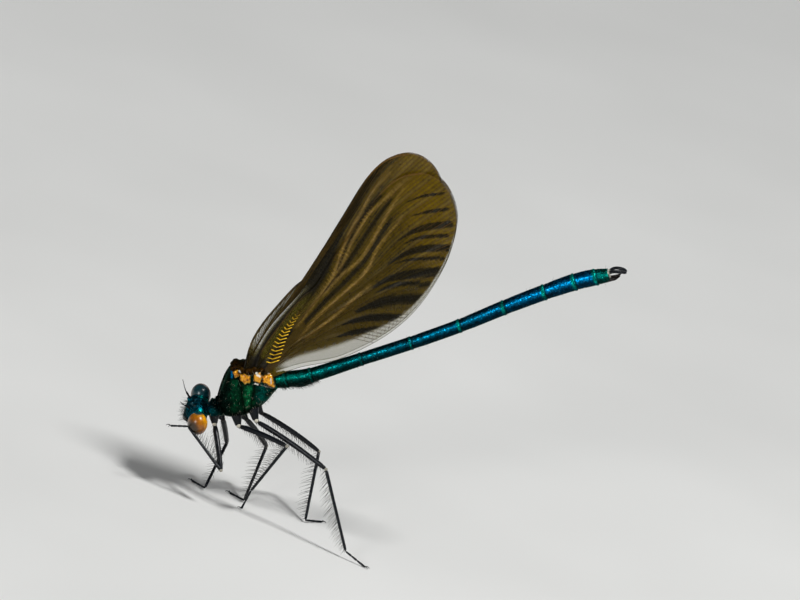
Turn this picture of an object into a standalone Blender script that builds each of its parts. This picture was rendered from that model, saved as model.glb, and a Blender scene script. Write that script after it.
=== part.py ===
"""A male demoiselle damselfly at life size, standing with folded wings and a foreleg raised to its face.

Every length is in millimetres until a mesh is made. The head points to -X, the tail to +X and the
insect's left side to -Y. The body has a frame of its own, pitched up towards the tail: s runs along
the abdomen from the waist, h towards the back, y across. Each wing lies in a plane of constant y.
"""

import math

import bmesh
import bpy
import numpy as np
from mathutils.geometry import delaunay_2d_cdt

MM = 0.001
GAP = 0.3  # clear space kept between neighbouring pieces

# Where the box's bottom centre lies in the frame that the sizes below are given in
BOX_CENTRE = np.array([3.819, -0.798, 0.0])

# Body frame: the waist, where the abdomen leaves the thorax, and the pitch of the abdomen
WAIST = np.array([-7.29, 0.0, 14.32])
BODY_PITCH = math.radians(36.5)

# Head: its centre, how far the face looks down, and the roll that brings the left eye down
HEAD_CENTRE = np.array([-14.0, 0.0, 9.0])
HEAD_DOWN = math.radians(15.3)
HEAD_ROLL = math.radians(39.4)
EYE_OUT = 1.95
EYE_BACK = 0.12
EYE_RADII = (1.0, 1.12, 1.22)  # fore and aft, across, up and down
ANTENNA_ROOT = (1.08, 0.66, 1.32)  # forward, outward and up from the head's centre
ANTENNA_REACH = (0.65, 0.75, 2.0)

# Synthorax: s, back, belly and half width at each station
THORAX = (
    (-6.4, 0.0, -1.75, 1.0),
    (-6.0, 0.65, -2.05, 1.45),
    (-5.3, 1.6, -2.3, 1.8),
    (-4.4, 2.6, -2.45, 2.05),
    (-3.5, 3.25, -2.4, 2.15),
    (-2.5, 3.15, -2.15, 2.1),
    (-1.5, 2.45, -1.75, 1.85),
    (-0.6, 1.6, -1.2, 1.4),
    (0.0, 1.0, -0.85, 0.95),
)
THORAX_SQUARENESS = 2.3
# Sutures on each flank, as the (s, h) of their lower and upper ends
SUTURES = (((-6.0, -1.9), (-3.3, 1.4)), ((-4.6, -2.4), (-2.1, 0.7)), ((-3.2, -2.3), (-0.9, -0.3)))
SUTURE_DEPTH = 0.14
SUTURE_HALF_WIDTH = 0.24
# Plates where the wings hinge: s, h and the radii along s and h
HINGE_PLATES = (
    (-3.8, 1.9, 0.4, 0.5),
    (-2.85, 1.3, 0.5, 0.55),
    (-1.65, 0.8, 0.45, 0.55),
    (-0.75, 0.2, 0.5, 0.6),
)
HINGE_PLATE_RISE = 0.16
HINGE_PLATE_RADIUS = 0.35
KEEL_RISE = 0.14

# Prothorax: from the neck to the synthorax, in the body frame
PROTHORAX_FRONT = np.array([-7.5, 0.0, -0.5])
PROTHORAX_BACK = np.array([-6.65, 0.0, -0.85])
PROTHORAX_HALF_HEIGHT = 1.05
PROTHORAX_HALF_WIDTH = 1.15

# Abdomen: s and h of each joint from the waist to the tip, and the radius there
ABDOMEN = (
    (0.1, 0.0, 0.85),
    (1.3, -0.22, 0.9),
    (4.0, -0.6, 0.78),
    (9.6, -0.58, 0.7),
    (15.2, -0.55, 0.7),
    (20.7, -0.35, 0.72),
    (25.8, 0.08, 0.78),
    (30.4, 0.34, 0.83),
    (33.8, 0.4, 0.9),
    (36.1, 0.2, 0.86),
    (37.4, 0.0, 0.7),
)
RIM_LENGTH = 0.3
RIM_SWELL = 1.06
GENITAL_PLACE = 2.6  # s of the swelling under the second segment
GENITAL_SWELL = 0.22
CERCUS_LENGTH = 1.9
PARAPROCT_LENGTH = 1.1

# Wings: the plane of the folded wings, and the forewing's outline as (along, rearward)
WING_BASE = np.array([-9.27, 0.0, 15.5])
WING_RISE = math.radians(66.9)
WING_THICKNESS = 0.5
VEIN_HEIGHT = 0.12
VEIN_HALF_WIDTH = 0.17
VEIN_STEP = 1.9
FOREWING_Y = 0.52
HINDWING_Y = 1.56
FOREWING_ROOT_Y = 0.85
HINDWING_ROOT_Y = 1.9
ROOT_BEND_LENGTH = 1.3
FOREWING_LEADING = (
    (-1.2, -1.1),
    (1.1, -2.2),
    (3.5, -2.67),
    (6.2, -2.78),
    (8.8, -2.74),
    (10.8, -2.5),
    (13.3, -3.03),
    (17.9, -3.85),
    (22.9, -4.65),
    (26.0, -4.4),
    (28.1, -3.1),
)
FOREWING_TRAILING = (
    (28.8, -1.1),
    (28.2, 1.1),
    (26.4, 3.1),
    (22.5, 5.0),
    (17.0, 6.1),
    (12.0, 5.8),
    (7.0, 4.1),
    (3.0, 1.6),
    (-0.9, 0.0),
)
# Main veins of the forewing as (along, rearward), from the root to the margin
VEINS = {
    "subcosta": ((0.3, -1.3), (4.0, -1.95), (8.8, -1.95), (10.7, -1.98)),
    "radius": ((0.2, -0.8), (4.0, -1.35), (10.8, -1.45), (15.0, -2.1), (20.0, -3.05), (24.5, -3.7), (27.2, -3.2)),
    "radial_1": ((3.9, -1.2), (7.0, -1.0), (12.0, -1.0), (17.0, -1.8), (22.0, -2.6), (26.0, -2.6), (28.0, -1.8)),
    "radial_2": ((7.0, -0.9), (12.0, -0.4), (17.0, -0.75), (22.0, -1.3), (26.0, -1.15), (28.3, -0.3)),
    "radial_3": ((6.2, -0.7), (11.0, 0.15), (16.0, 0.35), (21.0, 0.2), (25.0, 0.5), (27.8, 1.1)),
    "intercalary": ((12.5, 0.25), (17.0, 1.15), (22.0, 1.45), (26.6, 2.45)),
    "median": ((3.9, -0.8), (8.0, 0.2), (12.0, 1.2), (16.5, 2.1), (21.0, 2.8), (24.6, 3.85)),
    "median_rear": ((6.6, 0.35), (10.0, 1.15), (14.0, 2.3), (18.0, 3.65), (21.0, 4.9)),
    "cubital": ((6.4, 0.8), (9.5, 1.95), (12.5, 3.65), (15.2, 5.65)),
    "anal": ((0.5, -0.3), (3.4, 0.2), (6.4, 1.1), (8.6, 2.7), (10.6, 5.0)),
    "arculus": ((3.9, -1.35), (3.9, 0.3)),
    "quadrangle": ((6.5, -0.5), (6.5, 1.1)),
    "nodus": ((10.8, -2.2), (10.8, -1.45)),
}
COSTA_INSET = 0.26

HINDWING_TURN = math.radians(4.3)
HINDWING_SHIFT = 0.35
HINDWING_LENGTH = 0.975
HINDWING_TRAILING_BREADTH = 1.1

# Legs: trochanter, knee, ankle and toe of each, in the same frame as the waist
LEGS = {
    "fore_left": ((-12.0, -0.7, 8.0), (-9.85, -3.7, 4.25), (-14.55, -2.2, 7.3), (-16.3, -3.65, 7.25)),
    "fore_right": ((-11.35, 0.7, 8.35), (-10.2, 4.5, 4.75), (-10.95, 1.2, 0.3), (-12.5, 2.8, 0.16)),
    "mid_left": ((-9.55, -0.9, 8.65), (-4.0, -3.85, 9.05), (-6.2, -1.65, 2.45), (-6.6, -1.2, -0.12)),
    "mid_right": ((-9.05, 0.9, 9.1), (-6.1, 5.65, 5.35), (-6.6, 1.2, 0.3), (-8.3, 2.8, 0.16)),
    "hind_left": ((-7.95, -1.0, 9.8), (0.65, -3.9, 7.95), (5.25, -6.45, 0.8), (7.65, -7.35, 0.05)),
    "hind_right": ((-7.75, 1.0, 10.2), (-0.65, 6.15, 6.4), (0.2, 1.1, 0.3), (1.9, 2.9, 0.16)),
}
COXA_ROOT = {"fore": (-7.1, -0.9), "mid": (-4.9, -1.6), "hind": (-3.0, -1.4)}
COXA_RADIUS = 0.58
TROCHANTER_RADIUS = 0.34
FEMUR_RADIUS = 0.28
TIBIA_RADIUS = 0.25
TARSUS_RADIUS = 0.25
TOE_RADIUS = 0.2
CLAW_LENGTH = 0.5
CLAW_SPREAD = math.radians(32)

for old in list(bpy.data.objects):
    bpy.data.objects.remove(old)


def material(name, colour, roughness, metallic=0.0):
    made = bpy.data.materials.new(name)
    made.use_nodes = True
    shader = made.node_tree.nodes["Principled BSDF"]
    shader.inputs["Base Color"].default_value = (*colour, 1.0)
    shader.inputs["Roughness"].default_value = roughness
    shader.inputs["Metallic"].default_value = metallic
    return made


THORAX_GREEN = material("thorax_green", (0.01, 0.10, 0.05), 0.35, 0.7)
ABDOMEN_TEAL = material("abdomen_teal", (0.0, 0.16, 0.20), 0.3, 0.8)
HEAD_TEAL = material("head_teal", (0.0, 0.09, 0.12), 0.35, 0.7)
EYE_BROWN = material("eye_brown", (0.45, 0.16, 0.02), 0.2)
WING_BROWN = material("wing_brown", (0.10, 0.06, 0.015), 0.4)
LEG_BLACK = material("leg_black", (0.01, 0.012, 0.016), 0.4)


def body(points):
    """Points given as (s, y, h) in the body frame, moved to the insect's frame."""
    s, y, h = np.moveaxis(np.asarray(points, float), -1, 0)
    along = np.array([math.cos(BODY_PITCH), 0.0, math.sin(BODY_PITCH)])
    up = np.array([-math.sin(BODY_PITCH), 0.0, math.cos(BODY_PITCH)])
    across = np.array([0.0, 1.0, 0.0])
    return WAIST + s[..., None] * along + y[..., None] * across + h[..., None] * up


def head_axes():
    """The head's forward, left and up directions, as the rows of a matrix."""
    forward = np.array([-math.cos(HEAD_DOWN), 0.0, -math.sin(HEAD_DOWN)])
    level_left = np.array([0.0, -1.0, 0.0])
    level_up = np.cross(forward, level_left)
    left = math.cos(HEAD_ROLL) * level_left - math.sin(HEAD_ROLL) * level_up
    up = math.cos(HEAD_ROLL) * level_up + math.sin(HEAD_ROLL) * level_left
    return np.array([forward, left, up])


def head(points):
    """Points given as (forward, left, up) from the head's centre, moved to the insect's frame."""
    return HEAD_CENTRE + np.asarray(points, float) @ head_axes()


def smooth_path(points, steps, closed=False):
    """A Catmull-Rom curve through the points, with this many steps between each two."""
    points = np.asarray(points, float)
    if closed:
        padded = np.concatenate([points[-1:], points, points[:2]])
    else:
        first = 2 * points[0] - points[1]
        last = 2 * points[-1] - points[-2]
        padded = np.concatenate([[first], points, [last]])
    path = []
    for a, b, c, d in zip(padded, padded[1:], padded[2:], padded[3:]):
        for step in range(steps):
            t = step / steps
            path.append(
                b
                + 0.5 * t * (c - a)
                + t * t * (a - 2.5 * b + 2 * c - 0.5 * d)
                + t**3 * (1.5 * (b - c) + 0.5 * (d - a))
            )
    if not closed:
        path.append(points[-1])
    return np.array(path)


def solid(name, points, faces, finish):
    """A named closed mesh from points in millimetres, its faces turned outwards."""
    mesh = bpy.data.meshes.new(name)
    mesh.from_pydata([tuple((p - BOX_CENTRE) * MM) for p in points], [], faces)
    shape = bmesh.new()
    shape.from_mesh(mesh)
    bmesh.ops.recalc_face_normals(shape, faces=shape.faces)
    shape.to_mesh(mesh)
    shape.free()
    mesh.materials.append(finish)
    mesh.shade_smooth()
    mesh.set_sharp_from_angle(angle=math.radians(40))
    made = bpy.data.objects.new(name, mesh)
    bpy.context.scene.collection.objects.link(made)
    return made


def loft(name, rings, finish):
    """A closed skin over rings of equally many points, with a fan of triangles over each end."""
    rings = [np.asarray(ring, float) for ring in rings]
    sides = len(rings[0])
    points = list(np.concatenate(rings))
    faces = []
    for row in range(len(rings) - 1):
        for i in range(sides):
            a = row * sides + i
            b = row * sides + (i + 1) % sides
            faces.append((a, b, b + sides, a + sides))
    for start, ring in ((0, rings[0]), ((len(rings) - 1) * sides, rings[-1])):
        centre = len(points)
        points.append(ring.mean(axis=0))
        for i in range(sides):
            faces.append((start + i, start + (i + 1) % sides, centre))
    return solid(name, points, faces, finish)


def tube(name, path, radii, sides, finish, floor=None):
    """A round tube along a path. Where floor is given, nothing of it reaches lower than that."""
    path = np.asarray(path, float)
    tangents = np.gradient(path, axis=0)
    tangents /= np.linalg.norm(tangents, axis=1)[:, None]
    side = np.cross(tangents[0], (0.0, 0.0, 1.0))
    if np.linalg.norm(side) < 0.1:
        side = np.cross(tangents[0], (0.0, 1.0, 0.0))
    rings = []
    for point, tangent, radius in zip(path, tangents, radii):
        side = side - tangent * side.dot(tangent)
        side /= np.linalg.norm(side)
        other = np.cross(tangent, side)
        angles = 2 * math.pi * np.arange(sides) / sides
        ring = point + radius * (np.cos(angles)[:, None] * side + np.sin(angles)[:, None] * other)
        if floor is not None:
            ring[:, 2] = np.maximum(ring[:, 2], floor)
        rings.append(ring)
    return loft(name, rings, finish)


def rounded(name, start, end, start_radius, end_radius, finish, sides=8, floor=None):
    """A straight limb piece with domed ends, from tip to tip."""
    start, end = np.asarray(start, float), np.asarray(end, float)
    length = np.linalg.norm(end - start)
    dome = ((0.0, 0.45), (0.25, 0.8), (0.9, 1.0))
    stations = [(d * start_radius / length, start_radius * k) for d, k in dome]
    stations += [(1 - d * end_radius / length, end_radius * k) for d, k in reversed(dome)]
    path = [start + t * (end - start) for t, _ in stations]
    return tube(name, path, [radius for _, radius in stations], sides, finish, floor)


def ellipsoid(name, centre, axes, radii, finish, sides=16, rows=10):
    """An ellipsoid with its poles on the second axis."""
    rings = []
    for row in range(1, rows):
        polar = math.pi * row / rows
        angles = 2 * math.pi * np.arange(sides) / sides
        local = np.stack(
            [
                radii[0] * math.sin(polar) * np.cos(angles),
                np.full(sides, radii[1] * math.cos(polar)),
                radii[2] * math.sin(polar) * np.sin(angles),
            ],
            axis=1,
        )
        rings.append(centre + local @ axes)
    made = loft(name, rings, finish)
    for pole, sign in ((-2, 1), (-1, -1)):
        tip = centre + sign * radii[1] * np.asarray(axes)[1]
        made.data.vertices[len(made.data.vertices) + pole].co = (tip - BOX_CENTRE) * MM
    return made


def apply(made):
    """Replaces an object's mesh by what its modifiers make of it."""
    graph = bpy.context.evaluated_depsgraph_get()
    mesh = bpy.data.meshes.new_from_object(made.evaluated_get(graph))
    made.modifiers.clear()
    made.data = mesh
    keep_largest(made)
    mesh.shade_smooth()
    mesh.set_sharp_from_angle(angle=math.radians(40))


def keep_largest(made):
    """Drops every closed surface of a mesh but the one with the most volume."""
    shape = bmesh.new()
    shape.from_mesh(made.data)
    bmesh.ops.triangulate(shape, faces=shape.faces)
    unseen = set(shape.faces)
    surfaces = []
    while unseen:
        surface, edge = [], [unseen.pop()]
        while edge:
            face = edge.pop()
            surface.append(face)
            for near in {other for line in face.edges for other in line.link_faces} & unseen:
                unseen.remove(near)
                edge.append(near)
        volume = sum(f.verts[0].co.dot(f.verts[1].co.cross(f.verts[2].co)) for f in surface)
        surfaces.append((volume, surface))
    surfaces.sort(key=lambda pair: pair[0])
    for _, surface in surfaces[:-1]:
        bmesh.ops.delete(shape, geom=surface, context="FACES")
    bmesh.ops.delete(shape, geom=[v for v in shape.verts if not v.link_faces], context="VERTS")
    shape.to_mesh(made.data)
    shape.free()


def fuse(made, pieces):
    """Joins closed pieces to an object by one Boolean union, and removes them."""
    group = bpy.data.collections.new(made.name + "_pieces")
    for piece in pieces:
        group.objects.link(piece)
    union = made.modifiers.new("union", "BOOLEAN")
    union.operation = "UNION"
    union.operand_type = "COLLECTION"
    union.collection = group
    apply(made)
    for piece in pieces:
        bpy.data.objects.remove(piece)
    bpy.data.collections.remove(group)


def carve(made, cutter):
    """Cuts a closed shape from an object."""
    cut = made.modifiers.new("cut", "BOOLEAN")
    cut.operation = "DIFFERENCE"
    cut.object = cutter
    apply(made)


def section(s, back, belly, half_width, squareness, sides=24, grow=0.0):
    """One cross-section of the body, as points (s, y, h) of a squarish oval."""
    angles = 2 * math.pi * np.arange(sides) / sides
    across, up = np.cos(angles), np.sin(angles)
    y = (half_width + grow) * np.sign(across) * np.abs(across) ** (2 / squareness)
    h = (back - belly + 2 * grow) / 2 * np.sign(up) * np.abs(up) ** (2 / squareness)
    return np.stack([np.full(sides, s), y, (back + belly) / 2 + h], axis=1)


def flank_y(s, h):
    """How far out the thorax's flank lies at a place on it."""
    stations = smooth_path(THORAX, 4)
    back, belly, half_width = (np.interp(s, stations[:, 0], stations[:, k]) for k in (1, 2, 3))
    level = abs(h - (back + belly) / 2) / ((back - belly) / 2)
    return half_width * max(0.0, 1 - level**THORAX_SQUARENESS) ** (1 / THORAX_SQUARENESS)


def suture_depth(points):
    """How deep the flank's sutures are at points (s, y, h)."""
    nearest = np.full(len(points), math.inf)
    flat = points[:, (0, 2)]
    for low, high in np.array(SUTURES):
        way = high - low
        t = np.clip((flat - low) @ way / way.dot(way), 0, 1)
        nearest = np.minimum(nearest, np.linalg.norm(low + t[:, None] * way - flat, axis=1))
    return SUTURE_DEPTH * np.clip(1 - nearest / SUTURE_HALF_WIDTH, 0, 1)


def synthorax_shape(name, grow=0.0):
    """The thorax's main box. Grown by a gap, it is a plain shape that cuts its neighbours clear."""
    stations = smooth_path(THORAX, 2 if grow else 3)
    rings = [section(*row, THORAX_SQUARENESS, sides=24 if grow else 28, grow=grow) for row in stations]
    rings[0][:, 0] -= grow
    rings[-1][:, 0] += grow
    if not grow:
        for ring in rings:
            ring[:, 1] *= 1 - suture_depth(ring) / np.maximum(np.abs(ring[:, 1]), 0.6)
            ahead_of_wings = 1 / (1 + math.exp(4 * (ring[0, 0] + 4.0)))
            ridge = np.clip(1 - np.abs(ring[:, 1]) / 0.35, 0, 1) * (ring[:, 2] > ring[:, 2].mean())
            ring[:, 2] += KEEL_RISE * ahead_of_wings * ridge
    return loft(name, [body(ring) for ring in rings], THORAX_GREEN)


def build_hinge_plates():
    """Four raised plates on each flank under the wings, fused to the thorax."""
    along, up = (body((1, 0, 0)) - WAIST), (body((0, 0, 1)) - WAIST)
    plates = []
    for number, (s, h, long, high) in enumerate(HINGE_PLATES):
        for sign in (-1, 1):
            out = flank_y(s, h) + HINGE_PLATE_RISE - HINGE_PLATE_RADIUS
            axes = np.array([along, (0.0, 1.0, 0.0), up])
            radii = (long, HINGE_PLATE_RADIUS, high)
            centre = body((s, sign * out, h))
            plates.append(ellipsoid(f"plate_{number}_{sign}", centre, axes, radii, THORAX_GREEN, 10, 6))
    fuse(synthorax, plates)


def prothorax_shape(name, grow=0.0):
    axis = PROTHORAX_BACK - PROTHORAX_FRONT
    length = np.linalg.norm(axis)
    axis /= length
    up = np.array([-axis[2], 0.0, axis[0]])
    rings = []
    for t, k in ((0.0, 0.62), (0.18, 0.86), (0.45, 0.8), (0.62, 1.0), (1.0, 0.9)):
        angles = 2 * math.pi * np.arange(16) / 16
        centre = PROTHORAX_FRONT + t * length * axis
        if grow:
            centre = centre + (2 * t - 1) * grow * axis
        width = PROTHORAX_HALF_WIDTH * k + grow
        height = PROTHORAX_HALF_HEIGHT * k + grow
        ring = centre + np.outer(width * np.cos(angles), (0, 1, 0)) + np.outer(height * np.sin(angles), up)
        rings.append(body(ring))
    return loft(name, rings, THORAX_GREEN)


def helper(made):
    """Marks an object as a cutter that isn't part of the insect."""
    made.hide_render = True
    made.display_type = "WIRE"
    return made


synthorax = synthorax_shape("synthorax")
synthorax_space = helper(synthorax_shape("synthorax_space", GAP))
prothorax = prothorax_shape("prothorax")
prothorax_space = helper(prothorax_shape("prothorax_space", GAP))
carve(prothorax, synthorax_space)


def build_eyes():
    for side, sign in (("left", 1), ("right", -1)):
        centre = head((-EYE_BACK, sign * EYE_OUT, 0.0))
        ellipsoid("eye_" + side, centre, head_axes(), EYE_RADII, EYE_BROWN)
        space = [radius + GAP for radius in EYE_RADII]
        helper(ellipsoid("eye_space_" + side, centre, head_axes(), space, EYE_BROWN))


def build_head():
    """The capsule between the eyes, with the face, the jaws and the back of the head fused on."""
    lobes = [
        ("face", (0.6, 0.0, 0.0), (0.75, 1.15, 0.8)),
        ("brow", (0.5, 0.0, 0.55), (0.7, 1.15, 0.5)),
        ("clypeus", (1.0, 0.0, -0.6), (0.5, 0.85, 0.38)),
        ("labrum", (1.12, 0.0, -1.15), (0.52, 0.65, 0.34)),
        ("labium", (0.4, 0.0, -1.5), (0.75, 0.7, 0.34)),
        ("nape", (-0.55, 0.0, 0.0), (0.6, 1.5, 0.85)),
        ("ocellus_front", (0.62, 0.0, 1.02), (0.17, 0.17, 0.17)),
    ]
    for side in (-1, 1):
        lobes += [
            (f"mandible_{side}", (0.9, 0.5 * side, -1.4), (0.42, 0.34, 0.36)),
            (f"ocellus_{side}", (0.25, 0.4 * side, 1.1), (0.17, 0.17, 0.17)),
            (f"socket_{side}", (0.92, ANTENNA_ROOT[1] * side, 0.85), (0.24, 0.24, 0.24)),
        ]
    axes = head_axes()
    capsule = ellipsoid("head", head((0.0, 0.0, 0.0)), axes, (1.05, 2.35, 1.15), HEAD_TEAL, 18, 12)
    pieces = [
        ellipsoid("head_" + name, head(centre), axes, radii, HEAD_TEAL, 10, 7)
        for name, centre, radii in lobes
    ]
    fuse(capsule, pieces)
    for side in ("left", "right"):
        carve(capsule, bpy.data.objects["eye_space_" + side])
    carve(capsule, prothorax_space)


def build_antennae():
    for side, sign in (("left", 1), ("right", -1)):
        root = np.array(ANTENNA_ROOT) * (1, sign, 1)
        tip = root + np.array(ANTENNA_REACH) * (1, sign, 1)
        knee = root + 0.4 * (tip - root) + np.array([0.12, 0.0, 0.0])
        path = smooth_path([head(root), head(knee), head(tip)], 4)
        radii = np.interp(np.linspace(0, 1, len(path)), (0, 0.3, 0.45, 1), (0.25, 0.25, 0.17, 0.09))
        tube("antenna_" + side, path, radii, 8, LEG_BLACK)


def build_abdomen():
    """Ten ringed segments in a row, each a little wider at its rear rim."""
    joints = np.array(ABDOMEN)
    fine = smooth_path(joints, 8)
    for number, (front, back) in enumerate(zip(joints, joints[1:]), start=1):
        rings = []
        start, end = front[0] + GAP / 2, back[0] - GAP / 2
        stations = [start, start + 0.15, (start + end) / 2, end - RIM_LENGTH, end - RIM_LENGTH / 2, end]
        for s, swell in zip(stations, (0.93, 1.0, 1.0, 1.0, RIM_SWELL, RIM_SWELL)):
            h = np.interp(s, fine[:, 0], fine[:, 1])
            radius = swell * np.interp(s, fine[:, 0], fine[:, 2])
            keel = GENITAL_SWELL * math.exp(-(((s - GENITAL_PLACE) / 0.9) ** 2))
            rings.append(body(section(s, h + radius, h - radius - keel, radius, 2.0, sides=16)))
        loft(f"abdomen_s{number}", rings, ABDOMEN_TEAL)


def build_claspers():
    """The pair of pincers at the tail, and the shorter pair under them."""
    s, h, radius = ABDOMEN[-1]
    start = s + GAP / 2
    for side, sign in (("left", -1), ("right", 1)):
        bow = [
            (start, sign * 0.42, h + 0.2),
            (start + 0.4 * CERCUS_LENGTH, sign * 0.72, h + 0.28),
            (start + 0.8 * CERCUS_LENGTH, sign * 0.62, h + 0.1),
            (start + CERCUS_LENGTH, sign * 0.28, h - 0.05),
        ]
        path = smooth_path(body(bow), 3)
        tube("cercus_" + side, path, np.linspace(0.26, 0.13, len(path)), 8, LEG_BLACK)
        low = [
            (start, sign * 0.4, h - 0.42),
            (start + 0.5 * PARAPROCT_LENGTH, sign * 0.45, h - 0.45),
            (start + PARAPROCT_LENGTH, sign * 0.32, h - 0.4),
        ]
        path = smooth_path(body(low), 3)
        tube("paraproct_" + side, path, np.linspace(0.24, 0.12, len(path)), 8, LEG_BLACK)


def as_hindwing(points):
    """Points of the forewing moved to the hindwing, which is shorter, broader behind and turned back."""
    points = np.array(points, float)
    points[:, 1] *= np.where(points[:, 1] > 0, HINDWING_TRAILING_BREADTH, 1.0)
    cos, sin = math.cos(HINDWING_TURN), math.sin(HINDWING_TURN)
    return points * (HINDWING_LENGTH, 1.0) @ np.array([[cos, sin], [-sin, cos]]) + (0.0, HINDWING_SHIFT)


def wing_veins():
    """The forewing's vein lines, at a spacing of about VEIN_STEP."""
    costa = np.array(FOREWING_LEADING[1:]) + (0.0, COSTA_INSET)
    lines = []
    for points in (costa, *VEINS.values()):
        fine = smooth_path(points, 8)
        run = np.concatenate([[0.0], np.cumsum(np.linalg.norm(np.diff(fine, axis=0), axis=1))])
        marks = np.linspace(0.0, run[-1], max(2, round(run[-1] / VEIN_STEP) + 1))
        lines.append(np.stack([np.interp(marks, run, fine[:, k]) for k in (0, 1)], axis=1))
    return lines


def beside(line, distance):
    """A line shifted sideways in the wing's plane."""
    tangents = np.gradient(line, axis=0)
    tangents /= np.linalg.norm(tangents, axis=1)[:, None]
    return line + distance * np.stack([-tangents[:, 1], tangents[:, 0]], axis=1)


def ridge_height(point, lines):
    """How far the wing's face is raised at a point by the nearest vein."""
    nearest = math.inf
    for line in lines:
        start, way = line[:-1], np.diff(line, axis=0)
        t = np.clip(((point - start) * way).sum(axis=1) / (way * way).sum(axis=1), 0, 1)
        nearest = min(nearest, np.linalg.norm(start + t[:, None] * way - point, axis=1).min())
    return VEIN_HEIGHT * max(0.0, 1.0 - nearest / VEIN_HALF_WIDTH)


def wing_point(along, rearward, y):
    direction = np.array([math.cos(WING_RISE), 0.0, math.sin(WING_RISE)])
    rear = np.array([math.sin(WING_RISE), 0.0, -math.cos(WING_RISE)])
    return WING_BASE + along * direction + rearward * rear + y * np.array([0.0, 1.0, 0.0])


def build_wing(name, hind, y, root_y):
    """A membrane with its main veins raised on both faces, split into the same triangles on each."""
    outline = smooth_path(FOREWING_LEADING + FOREWING_TRAILING, 2, closed=True)
    lines = wing_veins()
    if hind:
        outline = as_hindwing(outline)
        lines = [as_hindwing(line) for line in lines]
    points = list(outline)
    edges = []
    for line in lines:
        for distance in (-VEIN_HALF_WIDTH, 0.0, VEIN_HALF_WIDTH):
            edges += [(len(points) + i, len(points) + i + 1) for i in range(len(line) - 1)]
            points += list(beside(line, distance))
    rim_loop = list(range(len(outline)))
    flat, _, faces, _, _, _ = delaunay_2d_cdt([tuple(p) for p in points], edges, [rim_loop], 1, 0.02)
    flat = np.array([tuple(p) for p in flat])
    heights = np.array([ridge_height(p, lines) for p in flat])
    bend = (root_y - abs(y)) * np.exp(-(flat[:, 0] - FOREWING_LEADING[0][0]) / ROOT_BEND_LENGTH)
    middle = y + math.copysign(1.0, y) * bend
    count = len(flat)
    skin_points = []
    for side in (-1, 1):
        offsets = middle + side * (WING_THICKNESS / 2 + heights)
        skin_points += [wing_point(p[0], p[1], offset) for p, offset in zip(flat, offsets)]
    uses = {}
    for face in faces:
        for a, b in zip(face, face[1:] + face[:1]):
            uses.setdefault(frozenset((a, b)), []).append((a, b))
    rim = [pairs[0] for pairs in uses.values() if len(pairs) == 1]
    skin = [tuple(face) for face in faces] + [tuple(i + count for i in reversed(face)) for face in faces]
    skin += [(b, a, a + count, b + count) for a, b in rim]
    wing = solid(name, skin_points, skin, WING_BROWN)
    carve(wing, synthorax_space)


def joint_ends(before, joint, after, radius_before, radius_after):
    """Where a limb piece ends and the next begins at a joint, GAP apart however sharply it bends."""
    inward = (joint - before) / np.linalg.norm(joint - before)
    outward = (after - joint) / np.linalg.norm(after - joint)
    bend = math.acos(np.clip(-inward.dot(outward), -1, 1))
    if bend > math.radians(100):
        back = GAP / 2 / math.sin(bend / 2)
        return joint - back * inward, joint + back * outward
    aside = outward - inward * outward.dot(inward)
    aside /= np.linalg.norm(aside)
    reach = radius_before + GAP + radius_after * (1 - 0.9 * math.sin(bend))
    return joint, joint + reach * aside - radius_before * inward


def build_leg(name, trochanter, knee, ankle, toe):
    pair, side = name.split("_")
    sign = -1 if side == "left" else 1
    trochanter, knee, ankle, toe = (np.array(p) for p in (trochanter, knee, ankle, toe))
    s, h = COXA_ROOT[pair]
    root = body((s, sign * 0.75, h))
    coxa_end, femur_start = joint_ends(root, trochanter, knee, TROCHANTER_RADIUS, FEMUR_RADIUS)
    femur_end, tibia_start = joint_ends(trochanter, knee, ankle, FEMUR_RADIUS, TIBIA_RADIUS)
    tibia_end, tarsus_start = joint_ends(knee, ankle, toe, TIBIA_RADIUS, TARSUS_RADIUS)
    coxa = rounded(name + "_coxa", root, coxa_end, COXA_RADIUS, TROCHANTER_RADIUS, LEG_BLACK)
    carve(coxa, prothorax_space if pair == "fore" else synthorax_space)
    rounded(name + "_femur", femur_start, femur_end, FEMUR_RADIUS, FEMUR_RADIUS, LEG_BLACK)
    rounded(name + "_tibia", tibia_start, tibia_end, TIBIA_RADIUS, TIBIA_RADIUS, LEG_BLACK, floor=0.05)
    floor = None if name == "fore_left" else 0.0
    tarsus = rounded(name + "_tarsus", tarsus_start, toe, TARSUS_RADIUS, TOE_RADIUS, LEG_BLACK, floor=floor)
    fuse(tarsus, claws(name, ankle, toe, floor))


def claws(name, ankle, toe, floor):
    """Two hooks that spread from the toe. Standing feet keep them level, just over the floor."""
    ahead = toe - ankle
    ahead /= np.linalg.norm(ahead)
    level = np.array([ahead[0], ahead[1], 0.0 if floor == 0.0 else ahead[2]])
    level /= np.linalg.norm(level)
    across = np.cross(level, (0.0, 0.0, 1.0))
    root = toe - 0.7 * TOE_RADIUS * ahead
    if floor == 0.0:
        root[2] = 0.15
    hooks = []
    for number, sign in enumerate((-1, 1)):
        way = math.cos(CLAW_SPREAD) * level + sign * math.sin(CLAW_SPREAD) * across
        end = root + (CLAW_LENGTH + TOE_RADIUS) * way
        middle = (root + end) / 2 + (0.0, 0.0, 0.08)
        tip = end - (0.0, 0.0, 0.06)
        path = smooth_path([root, middle, tip], 2)
        radii = np.linspace(0.11, 0.05, len(path))
        hooks.append(tube(f"{name}_claw_{number}", path, radii, 6, LEG_BLACK, floor))
    return hooks


build_hinge_plates()
build_eyes()
build_head()
build_antennae()
build_abdomen()
build_claspers()
for side, sign in (("left", -1), ("right", 1)):
    build_wing("forewing_" + side, False, sign * FOREWING_Y, FOREWING_ROOT_Y)
    build_wing("hindwing_" + side, True, sign * HINDWING_Y, HINDWING_ROOT_Y)
for name, joints in LEGS.items():
    build_leg(name, *joints)
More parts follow.
